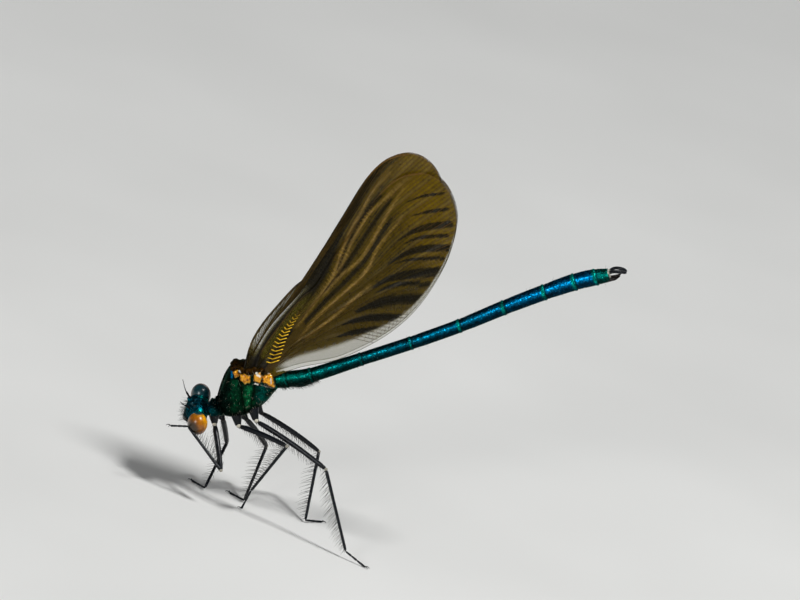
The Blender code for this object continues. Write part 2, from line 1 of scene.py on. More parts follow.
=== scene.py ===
"""The looks of a male demoiselle damselfly: iridescent skin, eyes, dusky veined wings, legs and bristles.

Lengths are in millimetres until a mesh is made, in the frame that the solids' sizes were given in. The
body has its own frame, pitched up towards the tail: s along the abdomen, h towards the back, y across.
"""

import math

import bpy
import numpy as np
from mathutils import Matrix


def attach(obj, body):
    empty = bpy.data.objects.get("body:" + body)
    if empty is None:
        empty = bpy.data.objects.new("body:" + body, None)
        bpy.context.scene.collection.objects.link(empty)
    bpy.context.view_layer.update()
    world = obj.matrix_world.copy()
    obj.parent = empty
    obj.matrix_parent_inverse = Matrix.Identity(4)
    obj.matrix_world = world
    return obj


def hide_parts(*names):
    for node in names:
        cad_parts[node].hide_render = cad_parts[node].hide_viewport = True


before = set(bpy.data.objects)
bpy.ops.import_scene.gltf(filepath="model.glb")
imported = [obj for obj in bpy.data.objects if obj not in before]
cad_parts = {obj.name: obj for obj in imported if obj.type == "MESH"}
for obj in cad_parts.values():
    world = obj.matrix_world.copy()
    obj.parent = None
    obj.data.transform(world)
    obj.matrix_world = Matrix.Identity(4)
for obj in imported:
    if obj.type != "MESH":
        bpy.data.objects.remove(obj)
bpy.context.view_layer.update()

MM = 0.001
BOX_CENTRE = np.array([3.819, -0.798, 0.0])  # the box's bottom centre in the insect's frame
SIDES = (("left", -1), ("right", 1))  # with the sign of y
HEAD_SIDES = (("left", 1), ("right", -1))  # with the sign of the way left in the head's frame

WAIST = np.array([-7.29, 0.0, 14.32])
BODY_PITCH = math.radians(36.5)
BODY_AXES = np.array(
    [
        [math.cos(BODY_PITCH), 0.0, math.sin(BODY_PITCH)],
        [0.0, 1.0, 0.0],
        [-math.sin(BODY_PITCH), 0.0, math.cos(BODY_PITCH)],
    ]
)

HEAD_CENTRE = np.array([-14.13, -0.07, 8.78])
HEAD_DOWN = math.radians(15.3)
HEAD_ROLL = math.radians(39.4)
EYE_OUT = 1.82
EYE_BACK = 0.12
EYE_RADII = np.array([1.06, 1.17, 1.28])
EYE_ORANGE = (0.42, 0.13, 0.0)
EYE_PAINTED_GLOW = (1.0, 0.42, 0.0)
EYE_PAINTED_SHADE = (0.03, 0.014, 0.0)
EYE_PAINTED_REFLECTION = (0.0, 0.036, 0.046)
ANTENNA_ROOT = (0.95, 0.66, 1.32)
ANTENNA_REACH = (0.65, 0.75, 2.0)
ANTENNA_RADII = ((0, 0.1, 0.17, 0.2, 0.36, 0.4, 0.43, 1), (0.14, 0.16, 0.14, 0.1, 0.11, 0.08, 0.05, 0.025))

VOXEL = 0.0566  # of the skin over head and thorax
SOFTENINGS = 3

# Synthorax: s, back, belly and half width at each station
THORAX = (
    (-6.4, 0.0, -1.75, 1.0),
    (-6.0, 0.65, -2.05, 1.45),
    (-5.3, 1.6, -2.3, 1.8),
    (-4.4, 2.6, -2.45, 2.05),
    (-3.5, 3.25, -2.4, 2.15),
    (-2.5, 3.15, -2.15, 2.1),
    (-1.5, 2.45, -1.75, 1.85),
    (-0.6, 1.6, -1.2, 1.4),
    (0.0, 1.0, -0.85, 0.95),
)
THORAX_SQUARENESS = 2.3
KEEL_RISE = 0.16
FURROW_DEPTH = 0.07
# Sutures of the flank: from one (s, h) to another, and the depth
SUTURES = (
    ((-6.0, -1.9), (-3.9, 0.9), 0.05),
    ((-3.9, -1.9), (-3.15, 1.3), 0.09),
    ((-3.0, -1.4), (-1.85, 0.6), 0.09),
)
# Golden plates at the wing hinges: corners as (s, h), and the lump under each as s, h, half length, half height
HINGE_PLATES = (
    ((-3.64, 2.85), (-2.95, 2.8), (-3.08, 2.02), (-3.6, 2.1)),
    ((-2.96, 2.3), (-2.46, 2.32), (-1.92, 1.7), (-2.2, 1.08), (-2.75, 1.15), (-3.11, 1.7)),
    ((-1.56, 1.83), (-0.85, 1.75), (-0.82, 1.1), (-1.31, 0.6), (-1.8, 1.2)),
    ((-0.78, 1.3), (0.08, 1.3), (0.28, 0.85), (-0.02, -0.5), (-0.55, 0.0), (-1.0, 0.65)),
)
HINGE_LUMPS = ((-3.33, 2.45, 0.36, 0.45), (-2.57, 1.72, 0.6, 0.6), (-1.28, 1.25, 0.5, 0.6), (-0.4, 0.45, 0.55, 0.8))
BLUE_LINE = ((-3.66, 3.05), (-3.9, 2.2))  # ahead of the first plate
PALE_HEM = ((-1.3, 0.48), (-0.1, -0.57))  # between the last two plates
# Painted white highlights at the hinges: a line from one (s, h) to another, and its half width
PAINTED_HINGE_GLINTS = (
    ((-2.92, 2.62), (-2.86, 2.45), 0.09),
    ((-1.85, 2.72), (-1.8, 2.62), 0.07),
    ((-1.3, 1.78), (-1.02, 1.4), 0.13),
    ((-0.24, 1.5), (-0.05, 1.34), 0.13),
    ((-1.8, 0.86), (-1.5, 0.64), 0.07),
    ((-0.08, 0.75), (-0.2, 0.2), 0.06),
)

BACK_EDGE = ((-4.2, -3.6, -2.9, -1.2, 0.0), (3.0, 2.5, 1.9, 1.5, 1.1))  # s and h where the black back begins

PROTHORAX_FRONT = np.array([-7.5, 0.0, -0.5])
PROTHORAX_BACK = np.array([-6.2, 0.0, -0.95])
PROTHORAX_HALF_HEIGHT = 1.05
PROTHORAX_HALF_WIDTH = 1.15

# Abdomen: s and h of each joint from the waist to the tip, and the radius there
ABDOMEN = (
    (0.1, 0.0, 0.85),
    (1.3, -0.22, 0.9),
    (4.0, -0.6, 0.78),
    (9.6, -0.58, 0.7),
    (15.2, -0.55, 0.7),
    (20.7, -0.35, 0.72),
    (25.8, 0.08, 0.78),
    (30.4, 0.34, 0.83),
    (33.8, 0.4, 0.9),
    (36.1, 0.2, 0.86),
    (37.4, 0.0, 0.7),
)
GENITAL_PLACE = 2.6
GENITAL_SWELL = 0.22
GENITAL_REACH = 0.9
CERCUS_LENGTH = 1.8
PARAPROCT_LENGTH = 1.1
CERCUS_RADII = ((0, 0.2, 0.45, 0.7, 0.92, 1), (0.22, 0.22, 0.2, 0.22, 0.18, 0.08))
PARAPROCT_RADII = ((0, 0.5, 0.9, 1), (0.24, 0.18, 0.1, 0.05))

# Wings: the plane of the folded wings, and the forewing's outline as (along, rearward)
WING_BASE = np.array([-9.27, 0.0, 15.5])
WING_RISE = math.radians(66.9)
FOREWING_LEADING = (
    (-1.2, -1.1),
    (1.1, -2.2),
    (3.5, -2.67),
    (6.2, -2.78),
    (8.8, -2.74),
    (10.8, -2.5),
    (13.3, -3.03),
    (17.9, -3.85),
    (22.9, -4.65),
    (26.0, -4.4),
    (28.1, -3.1),
)
FOREWING_TRAILING = (
    (28.8, -1.1),
    (28.2, 1.1),
    (26.4, 3.1),
    (22.5, 5.0),
    (17.0, 6.1),
    (12.0, 5.8),
    (7.0, 4.1),
    (3.0, 1.6),
    (-0.9, 0.0),
)
HINDWING_TURN = math.radians(4.3)
HINDWING_SHIFT = 0.35
HINDWING_LENGTH = 0.975
HINDWING_TRAILING_BREADTH = 1.1
HINDWING_BASE_SHIFT = 0.9
HINDWING_BASE_REACH = 7.0

# Long veins from front to rear as (along, rearward), from the root to the margin
SUBCOSTA = ((-0.9, -1.05), (0.3, -1.35), (4.0, -1.98), (8.8, -1.98), (10.7, -2.35))
LONG_VEINS = (
    ((-1.1, -0.8), (0.4, -0.9), (4.0, -1.35), (10.8, -1.45), (15.0, -2.1), (20.0, -3.05), (24.5, -3.7), (27.7, -3.4)),
    ((-1.1, -0.74), (0.4, -0.82), (3.9, -1.2), (7.0, -1.0), (12.0, -1.0), (17.0, -1.8), (22.0, -2.6), (28.3, -1.9)),
    ((-1.1, -0.68), (0.4, -0.74), (3.9, -1.05), (7.0, -0.8), (12.0, -0.4), (17.0, -0.75), (22.0, -1.3), (28.7, -0.3)),
    ((-1.1, -0.62), (0.4, -0.66), (3.9, -0.92), (6.5, -0.55), (11.0, 0.15), (16.0, 0.35), (21.0, 0.2), (28.2, 1.15)),
    ((-1.1, -0.56), (0.4, -0.58), (3.9, -0.79), (7.5, -0.15), (12.5, 0.6), (17.0, 1.15), (22.0, 1.6), (26.9, 2.5)),
    ((-1.1, -0.5), (0.4, -0.5), (3.9, -0.62), (8.0, 0.25), (12.0, 1.2), (16.5, 2.1), (21.0, 2.8), (25.0, 3.9)),
    ((-1.1, -0.44), (0.4, -0.42), (3.9, -0.38), (6.6, 0.38), (10.0, 1.3), (14.0, 2.3), (18.0, 3.65), (21.2, 5.3)),
    ((-1.1, -0.38), (0.4, -0.33), (3.9, -0.08), (6.4, 0.8), (9.5, 1.95), (12.5, 3.5), (15.3, 5.95)),
    ((-1.1, -0.3), (0.4, -0.2), (3.4, 0.3), (6.2, 1.25), (8.6, 2.7), (10.7, 5.3)),
)

# Painted light and shade of the pleats, in the plane of the folded wings, as (along, rearward): stripes of painted
# highlight, lines of painted shade between them, and bands of painted shade that widen towards the rear margin, each
# with its width at its end
HIGHLIGHT_STRIPES = (
    ((25.2, -3.3), (22.4, -3.34), (19.92, -2.76), (17.9, -2.41), (16.06, -1.86), (14.19, -1.15), (12.2, -0.48),
     (9.17, -0.14), (6.0, 0.1)),
    ((26.0, -1.6), (23.44, -1.83), (20.53, -2.08), (18.61, -1.82), (16.48, -1.38), (14.83, -0.83), (12.3, -0.3)),
    ((25.18, -1.2), (22.11, -0.71), (19.98, -0.27), (17.86, 0.16), (15.6, 0.4), (13.3, 0.0), (10.29, 0.0)),
    ((22.5, 0.75), (18.85, 0.89), (17.59, 1.12), (16.01, 1.6), (14.11, 1.75), (12.44, 1.5), (8.02, 1.04), (5.0, 1.2)),
    ((14.5, 3.0), (11.8, 2.65), (8.5, 2.2), (5.5, 1.6)),
)
SHADE_LINES = (
    ((23.7, -2.5), (21.35, -2.45), (18.3, -1.98), (15.95, -1.5), (13.6, -0.65)),
    ((24.33, -1.5), (21.88, -1.3), (19.07, -0.95), (16.75, -0.6), (14.89, -0.35), (12.98, -0.15), (11.01, -0.2)),
    ((23.0, -0.1), (20.23, 0.2), (18.34, 0.55), (16.35, 0.85), (13.48, 0.8), (10.83, 0.6), (7.0, 0.5)),
)
SHADE_BANDS = (
    (0.16, (23.8, 0.0), (25.6, 0.9), (27.3, 2.3)),
    (0.2, (23.01, 1.3), (24.65, 2.4), (26.26, 3.73)),
    (0.4, (19.94, 2.03), (21.63, 2.46), (23.39, 3.46), (25.2, 5.0)),
    (0.22, (20.11, 2.71), (21.99, 3.6), (24.02, 5.6)),
    (0.42, (17.09, 2.77), (19.56, 3.58), (21.26, 4.63), (23.1, 6.5)),
    (0.2, (17.74, 3.25), (19.65, 4.54), (21.9, 6.9)),
    (0.55, (14.03, 3.27), (16.17, 3.96), (18.18, 5.36), (20.4, 7.4)),
    (0.3, (13.87, 3.83), (16.53, 5.1), (18.8, 7.7)),
    (0.68, (10.77, 3.54), (12.65, 4.44), (14.62, 5.67), (17.0, 8.0)),
    (0.5, (8.82, 3.32), (10.69, 4.44), (12.19, 5.65), (14.1, 7.8)),
    (0.36, (7.5, 3.81), (9.2, 4.86), (11.4, 6.7)),
)
# How far rearward the olive membrane reaches, and how wide the clear rear margin is, at places along the wing
OLIVE_EDGE = ((0.0, 0.9, 3.56, 6.04, 9.0), (-1.0, -1.2, -2.1, -2.2, -2.2))
CLEAR_MARGIN = ((-1, 3, 7, 11, 15, 19, 24, 26.5), (0.5, 1.0, 1.3, 1.1, 0.55, 0.3, 0.16, 0.03))
# The two lines that the hindwing's golden rungs join
LADDER = (
    ((0.9, -1.2), (3.56, -2.17), (6.04, -2.25), (7.4, -2.2)),
    ((2.0, -0.3), (4.4, -1.35), (6.43, -1.72), (7.7, -1.75)),
)
LADDER_RUNGS = 15
LADDER_SAG = 0.3
COSTAL_RUNGS = 34
ROWS = 200  # points along each long vein
STRIPS = 16  # strips of membrane between two neighbouring long veins
# Radii of the veins at the root and at the margin
COSTA_RADII = (0.1, 0.05)
RIM_RADII = (0.024, 0.024)
ROD_SIDES = 4
SUBCOSTA_RADII = (0.055, 0.035)
FIRST_VEIN_RADII = (0.058, 0.022)
LONG_VEIN_RADII = (0.046, 0.022)
BRANCH_RADII = (0.022, 0.018)
CROSSVEIN_RADIUS = 0.016
# Each pair of wings: its name, whether it is behind, and how far out it lies at its root and beyond
WING_PAIRS = (("forewing_", False, 1.75, 0.3), ("hindwing_", True, 1.8, 0.62))

# Legs: trochanter, knee, ankle and toe
LEGS = {
    "fore_left": ((-12.0, -0.7, 8.0), (-9.85, -3.7, 4.25), (-14.55, -2.2, 7.3), (-16.3, -3.65, 7.25)),
    "fore_right": ((-11.35, 0.7, 8.35), (-10.2, 4.5, 4.75), (-10.95, 1.2, 0.3), (-12.5, 2.8, 0.16)),
    "mid_left": ((-9.55, -0.9, 8.65), (-4.0, -3.85, 9.05), (-6.2, -1.65, 2.45), (-6.6, -1.2, -0.12)),
    "mid_right": ((-9.05, 0.9, 9.1), (-6.1, 5.65, 5.35), (-6.6, 1.2, 0.3), (-8.3, 2.8, 0.16)),
    "hind_left": ((-7.95, -1.0, 9.8), (0.65, -3.9, 7.95), (5.25, -6.45, 0.8), (7.65, -7.35, 0.05)),
    "hind_right": ((-7.75, 1.0, 10.2), (-0.65, 6.15, 6.4), (0.2, 1.1, 0.3), (1.9, 2.9, 0.16)),
}
COXA_ROOT = {"fore": (-7.1, -0.9), "mid": (-4.9, -1.6), "hind": (-3.0, -1.4)}  # (s, h)
# Radii along each limb piece, as (share of its length, radius)
COXA = ((0, 0.6), (0.35, 0.58), (0.8, 0.38), (1, 0.3))
TROCHANTER = ((0, 0.2), (0.5, 0.26), (1, 0.2))
FEMUR = ((0, 0.2), (0.12, 0.27), (0.5, 0.27), (0.9, 0.24), (1, 0.18))
TIBIA = ((0, 0.15), (0.06, 0.175), (0.5, 0.155), (0.95, 0.145), (1, 0.12))
TARSOMERE = ((0, 0.09), (0.3, 0.105), (0.85, 0.12), (1, 0.09))
TARSUS_JOINTS = (0.3, 0.58, 1.0)
CLAW_SPREAD = 0.5
CLAW = ((0.22, 0.09), (0.42, 0.05), (0.5, -0.07))  # how far it reaches and how high, from root to tip
# The marks of a leg's parts
BLACK = (0.0, 0.0, 0.0)
BROWN = (0.0, 0.5, 0.0)
KNEE = (0.45, 0.0, 0.0)
PALE = (0.85, 0.0, 0.0)
# Bristles: how far they lean, their lengths along the limb piece, and their radius
TIBIA_BRISTLES = (0.5, (0.9, 1.6, 1.4, 0.5), 0.03)
FEMUR_BRISTLES = (0.6, (0.35, 0.85, 0.9, 0.4), 0.026)
BRISTLE_SPACING = 0.3
BRISTLE_SPREAD = 0.45
HAIR_RINGS = 5

# Camera: what it aims at, its right and up directions, and how far off it stands
AIM = np.array([2.661, 0.0, 26.98])
IMAGE_RIGHT = np.array([0.9527, 0.0889, 0.2907])
IMAGE_UP = np.array([-0.3040, 0.2786, 0.9111])
TOWARDS_CAMERA = np.array([0.0, -0.9563, 0.2924])
CAMERA_DISTANCE = 1600.0
CAMERA_LENS = 685.7
# Lights: the way to each, its distance and size in metres, and its power in watts
LIGHTS = {
    "key": ((0.43, -0.14, 0.892), 0.62, 0.12, 3.1),
    "fill": ((-0.42, -0.84, 0.25), 0.8, 0.2, 2.3),
    "back": ((0.15, 0.9, 0.35), 0.8, 0.4, 0.3),
}
WORLD_LIGHT = (0.92, 0.96, 1.0)
WORLD_STRENGTH = 0.1
FLOOR_REACH = 3.0  # metres
FLOOR_TONES = ((0.3, (0.78, 0.78, 0.76)), (0.7, (0.84, 0.84, 0.82)))

random = np.random.default_rng(11)


def unit(vectors):
    return vectors / np.linalg.norm(vectors, axis=-1, keepdims=True)


def smoothstep(low, high, values):
    t = np.clip((values - low) / (high - low), 0.0, 1.0)
    return t * t * (3 - 2 * t)


def bell(values, width, centre=0.0, power=2):
    """1 at the centre, fading to nothing a few widths away."""
    return np.exp(-(((values - centre) / width) ** power))


def length(*parts):
    """The lengths of vectors given by their parts."""
    return np.linalg.norm(np.stack(parts, axis=1), axis=1)


def body(points):
    """Points given as (s, y, h) in the body frame, moved to the insect's frame."""
    return WAIST + np.asarray(points, float) @ BODY_AXES


def in_body(points):
    """The (s, y, h) of points of the insect's frame."""
    return (points - WAIST) @ BODY_AXES.T


def head_axes():
    forward = np.array([-math.cos(HEAD_DOWN), 0.0, -math.sin(HEAD_DOWN)])
    level_left = np.array([0.0, -1.0, 0.0])
    level_up = np.cross(forward, level_left)
    left = math.cos(HEAD_ROLL) * level_left - math.sin(HEAD_ROLL) * level_up
    up = math.cos(HEAD_ROLL) * level_up + math.sin(HEAD_ROLL) * level_left
    return np.array([forward, left, up])


HEAD_AXES = head_axes()


def head(points):
    """Points given as (forward, left, up) from the head's centre, moved to the insect's frame."""
    return HEAD_CENTRE + np.asarray(points, float) @ HEAD_AXES


def in_head(points):
    return (points - HEAD_CENTRE) @ HEAD_AXES.T


def smooth_path(points, steps):
    """A smooth curve through the points, with this many steps between each two."""
    points = np.asarray(points, float)
    padded = np.concatenate([[2 * points[0] - points[1]], points, [2 * points[-1] - points[-2]]])
    path = []
    for a, b, c, d in zip(padded, padded[1:], padded[2:], padded[3:]):
        for t in np.arange(steps) / steps:
            bend = t * t * (a - 2.5 * b + 2 * c - 0.5 * d) + t**3 * (1.5 * (b - c) + 0.5 * (d - a))
            path.append(b + 0.5 * t * (c - a) + bend)
    path.append(points[-1])
    return np.array(path)


def run_along(path):
    """How far along a path each of its points lies."""
    return np.concatenate([[0.0], np.cumsum(np.linalg.norm(np.diff(path, axis=0), axis=1))])


def resampled(path, count):
    """The path with this many points, evenly spaced along it."""
    run = run_along(path)
    marks = np.linspace(0.0, run[-1], count)
    return np.stack([np.interp(marks, run, path[:, k]) for k in range(path.shape[1])], axis=1)


def grid_faces(rows, columns, wrapped):
    """Triangles over rows x columns of points. Where wrapped, the last column joins the first."""
    i = np.arange(rows - 1)[:, None] * columns
    j = np.arange(columns if wrapped else columns - 1)[None, :]
    a, b = i + j, i + (j + 1) % columns
    low = np.stack([a, b, b + columns], axis=-1)
    high = np.stack([a, b + columns, a + columns], axis=-1)
    return np.concatenate([low, high], axis=-1).reshape(-1, 3)


class Shape:
    """Points, triangles and marks of a mesh that grows piece by piece."""

    def __init__(self):
        self.points, self.faces, self.marks, self.places, self.count = [], [], [], [], 0

    def add(self, points, faces, marks=(0.0, 0.0, 0.0), places=(0.5, 0.5)):
        self.points.append(points)
        self.faces.append(np.asarray(faces) + self.count)
        self.marks.append(np.broadcast_to(np.asarray(marks, float), (len(points), 3)))
        self.places.append(np.broadcast_to(np.asarray(places, float), (len(points), 2)))
        self.count += len(points)

    def arrays(self):
        return [np.concatenate(part) for part in (self.points, self.faces, self.marks, self.places)]


def new_object(name, data):
    made = bpy.data.objects.new(name, data)
    bpy.context.scene.collection.objects.link(made)
    return made


def mesh_of(name, points, faces):
    mesh = bpy.data.meshes.new(name)
    mesh.vertices.add(len(points))
    mesh.vertices.foreach_set("co", np.asarray(points, np.float32).ravel())
    mesh.loops.add(faces.size)
    mesh.loops.foreach_set("vertex_index", np.asarray(faces, np.int32).ravel())
    mesh.polygons.add(len(faces))
    mesh.polygons.foreach_set("loop_start", np.arange(0, faces.size, 3, dtype=np.int32))
    mesh.update(calc_edges=True)
    mesh.validate()
    return mesh


def paint(mesh, name, colours):
    """Stores a colour for each vertex of a mesh."""
    layer = mesh.color_attributes.new(name, "FLOAT_COLOR", "POINT")
    rows = np.ones((len(colours), 4), np.float32)
    rows[:, :3] = colours
    layer.data.foreach_set("color", rows.ravel())


def piece(name, points, faces, finish, slot, replaced=(), places=None, **colours):
    """A mesh piece in the frame, which rides on the body and may stand for nodes of the solids."""
    mesh = mesh_of(name, (points - BOX_CENTRE) * MM, faces)
    for key, values in colours.items():
        paint(mesh, key, values)
    if places is not None:
        layer = mesh.uv_layers.new(name="OFBake")
        layer.data.foreach_set("uv", places[faces.ravel()].astype(np.float32).ravel())
    mesh.materials.append(finish)
    mesh.shade_smooth()
    made = new_object(name, mesh)
    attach(made, "root")
    if replaced:
        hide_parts(*replaced)
    return made


def loft(rings):
    """The closed skin over rings of equally many points, each end closed by a fan."""
    rings = np.asarray(rings, float)
    rows, sides = rings.shape[:2]
    points = np.concatenate([rings.reshape(-1, 3), rings[:1].mean(axis=1), rings[-1:].mean(axis=1)])
    faces = [grid_faces(rows, sides, True)]
    i = np.arange(sides)
    j = (i + 1) % sides
    faces.append(np.stack([j, i, np.full(sides, rows * sides)], axis=1))
    last = (rows - 1) * sides
    faces.append(np.stack([last + i, last + j, np.full(sides, rows * sides + 1)], axis=1))
    return points, np.concatenate(faces)


def tube(path, radii, sides, squareness=2.0, flatness=1.0):
    """A closed tube along a path, round or squarish, turned so that it doesn't twist."""
    path = np.asarray(path, float)
    tangents = unit(np.gradient(path, axis=0))
    side = np.cross(tangents[0], (0.0, 0.0, 1.0))
    if np.linalg.norm(side) < 0.1:
        side = np.cross(tangents[0], (0.0, 1.0, 0.0))
    angles = 2 * math.pi * (np.arange(sides) + 0.5) / sides
    cos, sin = np.cos(angles), np.sin(angles)
    reach = (np.abs(cos) ** squareness + np.abs(sin) ** squareness) ** (-1 / squareness)
    rings = []
    for point, tangent, radius in zip(path, tangents, radii):
        side = unit(side - tangent * side.dot(tangent))
        other = np.cross(side, tangent)
        ring = (reach * cos)[:, None] * side + flatness * (reach * sin)[:, None] * other
        rings.append(point + radius * ring)
    return loft(np.array(rings)[:, ::-1])


def ellipsoid(centre, axes, radii, sides, rows):
    polar = math.pi * (np.arange(rows) + 0.5) / rows
    angles = 2 * math.pi * np.arange(sides) / sides
    rings = np.stack(
        [
            radii[0] * np.sin(polar)[:, None] * np.cos(angles),
            np.broadcast_to(radii[1] * np.cos(polar)[:, None], (rows, sides)),
            radii[2] * np.sin(polar)[:, None] * np.sin(angles),
        ],
        axis=-1,
    )
    points, faces = loft(rings)
    points[-2] = (0.0, radii[1], 0.0)
    points[-1] = (0.0, -radii[1], 0.0)
    return centre + points @ np.asarray(axes, float), faces


def ring_around(ways, first, sides):
    """For each way the points of a circle of radius 1 about it, starting at its first."""
    second = np.cross(ways, first)
    angles = 2 * math.pi * np.arange(sides) / sides
    return np.cos(angles)[None, :, None] * first[:, None] + np.sin(angles)[None, :, None] * second[:, None]


def rods(starts, ends, radius):
    """Many straight closed rods of four sides at once."""
    ways = unit(ends - starts)
    first = np.cross(ways, (0.0, 1.0, 0.0))
    flat = np.linalg.norm(first, axis=1) < 0.05
    first[flat] = np.cross(ways[flat], (1.0, 0.0, 0.0))
    ring = radius * ring_around(ways, unit(first), ROD_SIDES)
    points = np.concatenate([starts[:, None] + ring, ends[:, None] + ring], axis=1).reshape(-1, 3)
    i = np.arange(ROD_SIDES)
    j = (i + 1) % ROD_SIDES
    one = [np.stack([i, j, j + ROD_SIDES], axis=1), np.stack([i, j + ROD_SIDES, i + ROD_SIDES], axis=1)]
    one.append([(0, 2, 1), (0, 3, 2), (4, 5, 6), (4, 6, 7)])
    faces = np.concatenate(one)[None] + (2 * ROD_SIDES * np.arange(len(starts)))[:, None, None]
    return points, faces.reshape(-1, 3)


def hairs(roots, ways, lengths, radius, droop, places):
    """Many thin curved hairs at once, each a closed three-sided spike with its own patch of the map."""
    count = len(roots)
    t = np.linspace(0.0, 1.0, HAIR_RINGS)
    line = roots[:, None] + (lengths[:, None] * t)[..., None] * ways[:, None]
    line = line + (lengths[:, None] * t**2)[..., None] * np.asarray(droop)
    ring = ring_around(ways, unit(np.cross(ways, (0.31, 0.52, 0.79))), 3)
    taper = radius * (1 - 0.85 * t**1.5)
    points = line[:, :, None] + taper[None, :, None, None] * ring[:, None]
    last = 3 * (HAIR_RINGS - 1)
    one = np.concatenate([grid_faces(HAIR_RINGS, 3, True), [(0, 2, 1)], [(last, last + 1, last + 2)]])
    faces = one[None] + (3 * HAIR_RINGS * np.arange(count))[:, None, None]
    patch = 0.003 * np.stack(np.meshgrid(t, np.arange(3) / 3, indexing="ij"), axis=-1).reshape(-1, 2)
    spots = np.asarray(places)[:, None] + patch
    return points.reshape(-1, 3), faces.reshape(-1, 3), spots.reshape(-1, 2)


class Finish:
    """A material under construction: adds shader nodes and joins them."""

    def __init__(self, name, **values):
        self.material = bpy.data.materials.new(name)
        self.material.use_nodes = True
        self.tree = self.material.node_tree
        self.shader = self.tree.nodes["Principled BSDF"]
        coordinates = self.tree.nodes.new("ShaderNodeTexCoord")
        self.place = self.add("VectorMath", operation="MULTIPLY", v0=coordinates.outputs["Object"], v1=(1000,) * 3)
        self.set(**values)

    def input(self, node, key):
        return next(socket for socket in node.inputs if socket.name.lower().replace(" ", "_") == key)

    def feed(self, socket, value):
        if isinstance(value, bpy.types.NodeSocket):
            self.tree.links.new(value, socket)
        elif isinstance(value, tuple) and len(value) == 3 and socket.type == "RGBA":
            socket.default_value = (*value, 1.0)
        else:
            socket.default_value = value

    def add(self, kind, **inputs):
        """Adds a node. v0, v1 and so on are its inputs by number, other names are inputs or settings."""
        node = self.tree.nodes.new("ShaderNode" + kind)
        settings = [key for key in inputs if hasattr(node, key)]
        for key in settings:
            setattr(node, key, inputs.pop(key))
        for key, value in inputs.items():
            self.feed(node.inputs[int(key[1:])] if key[1:].isdigit() else self.input(node, key), value)
        return node.outputs[0]

    def set(self, **values):
        for key, value in values.items():
            self.feed(self.input(self.shader, key), value)

    def noise(self, scale, detail=3.0, roughness=0.55):
        return self.add("TexNoise", vector=self.place, scale=scale, detail=detail, roughness=roughness)

    def cells(self, scale, feature="F1"):
        return self.add("TexVoronoi", feature=feature, vector=self.place, scale=scale)

    def ramp(self, value, *stops):
        """A colour ramp over the value, from (position, colour) stops."""
        node = self.tree.nodes.new("ShaderNodeValToRGB")
        elements = node.color_ramp.elements
        while len(elements) < len(stops):
            elements.new(1.0)
        for element, (position, colour) in zip(elements, stops):
            element.position = position
            element.color = (*colour, 1.0) if isinstance(colour, tuple) else (colour,) * 3 + (1.0,)
        self.tree.links.new(value, node.inputs["Fac"])
        return node.outputs["Color"]

    def mix(self, share, first, second, blend="MIX"):
        node = self.tree.nodes.new("ShaderNodeMix")
        node.data_type = "RGBA"
        node.blend_type = blend
        for socket, value in ((node.inputs[0], share), (node.inputs[6], first), (node.inputs[7], second)):
            self.feed(socket, value)
        return node.outputs[2]

    def span(self, value, low, high, to_low=0.0, to_high=1.0):
        return self.add("MapRange", v0=value, v1=low, v2=high, v3=to_low, v4=to_high)

    def maths(self, operation, first, second=0.0):
        return self.add("Math", operation=operation, v0=first, v1=second)

    def product(self, first, second):
        return self.maths("MULTIPLY", first, second)

    def tinted(self, first, second):
        """One colour times another."""
        return self.mix(1.0, first, second, "MULTIPLY")

    def grey(self, value):
        return self.add("CombineColor", v0=value, v1=value, v2=value)

    def marks(self, name):
        """The red, green and blue of a painted layer."""
        node = self.tree.nodes.new("ShaderNodeAttribute")
        node.attribute_name = name
        split = self.tree.nodes.new("ShaderNodeSeparateColor")
        self.tree.links.new(node.outputs["Color"], split.inputs[0])
        return node.outputs["Color"], split.outputs[0], split.outputs[1], split.outputs[2]

    def bump(self, height, distance, strength, under=None):
        node = self.tree.nodes.new("ShaderNodeBump")
        node.inputs["Strength"].default_value = strength
        node.inputs["Distance"].default_value = distance * MM
        self.tree.links.new(height, node.inputs["Height"])
        if under is not None:
            self.tree.links.new(under, node.inputs["Normal"])
        return node.outputs["Normal"]


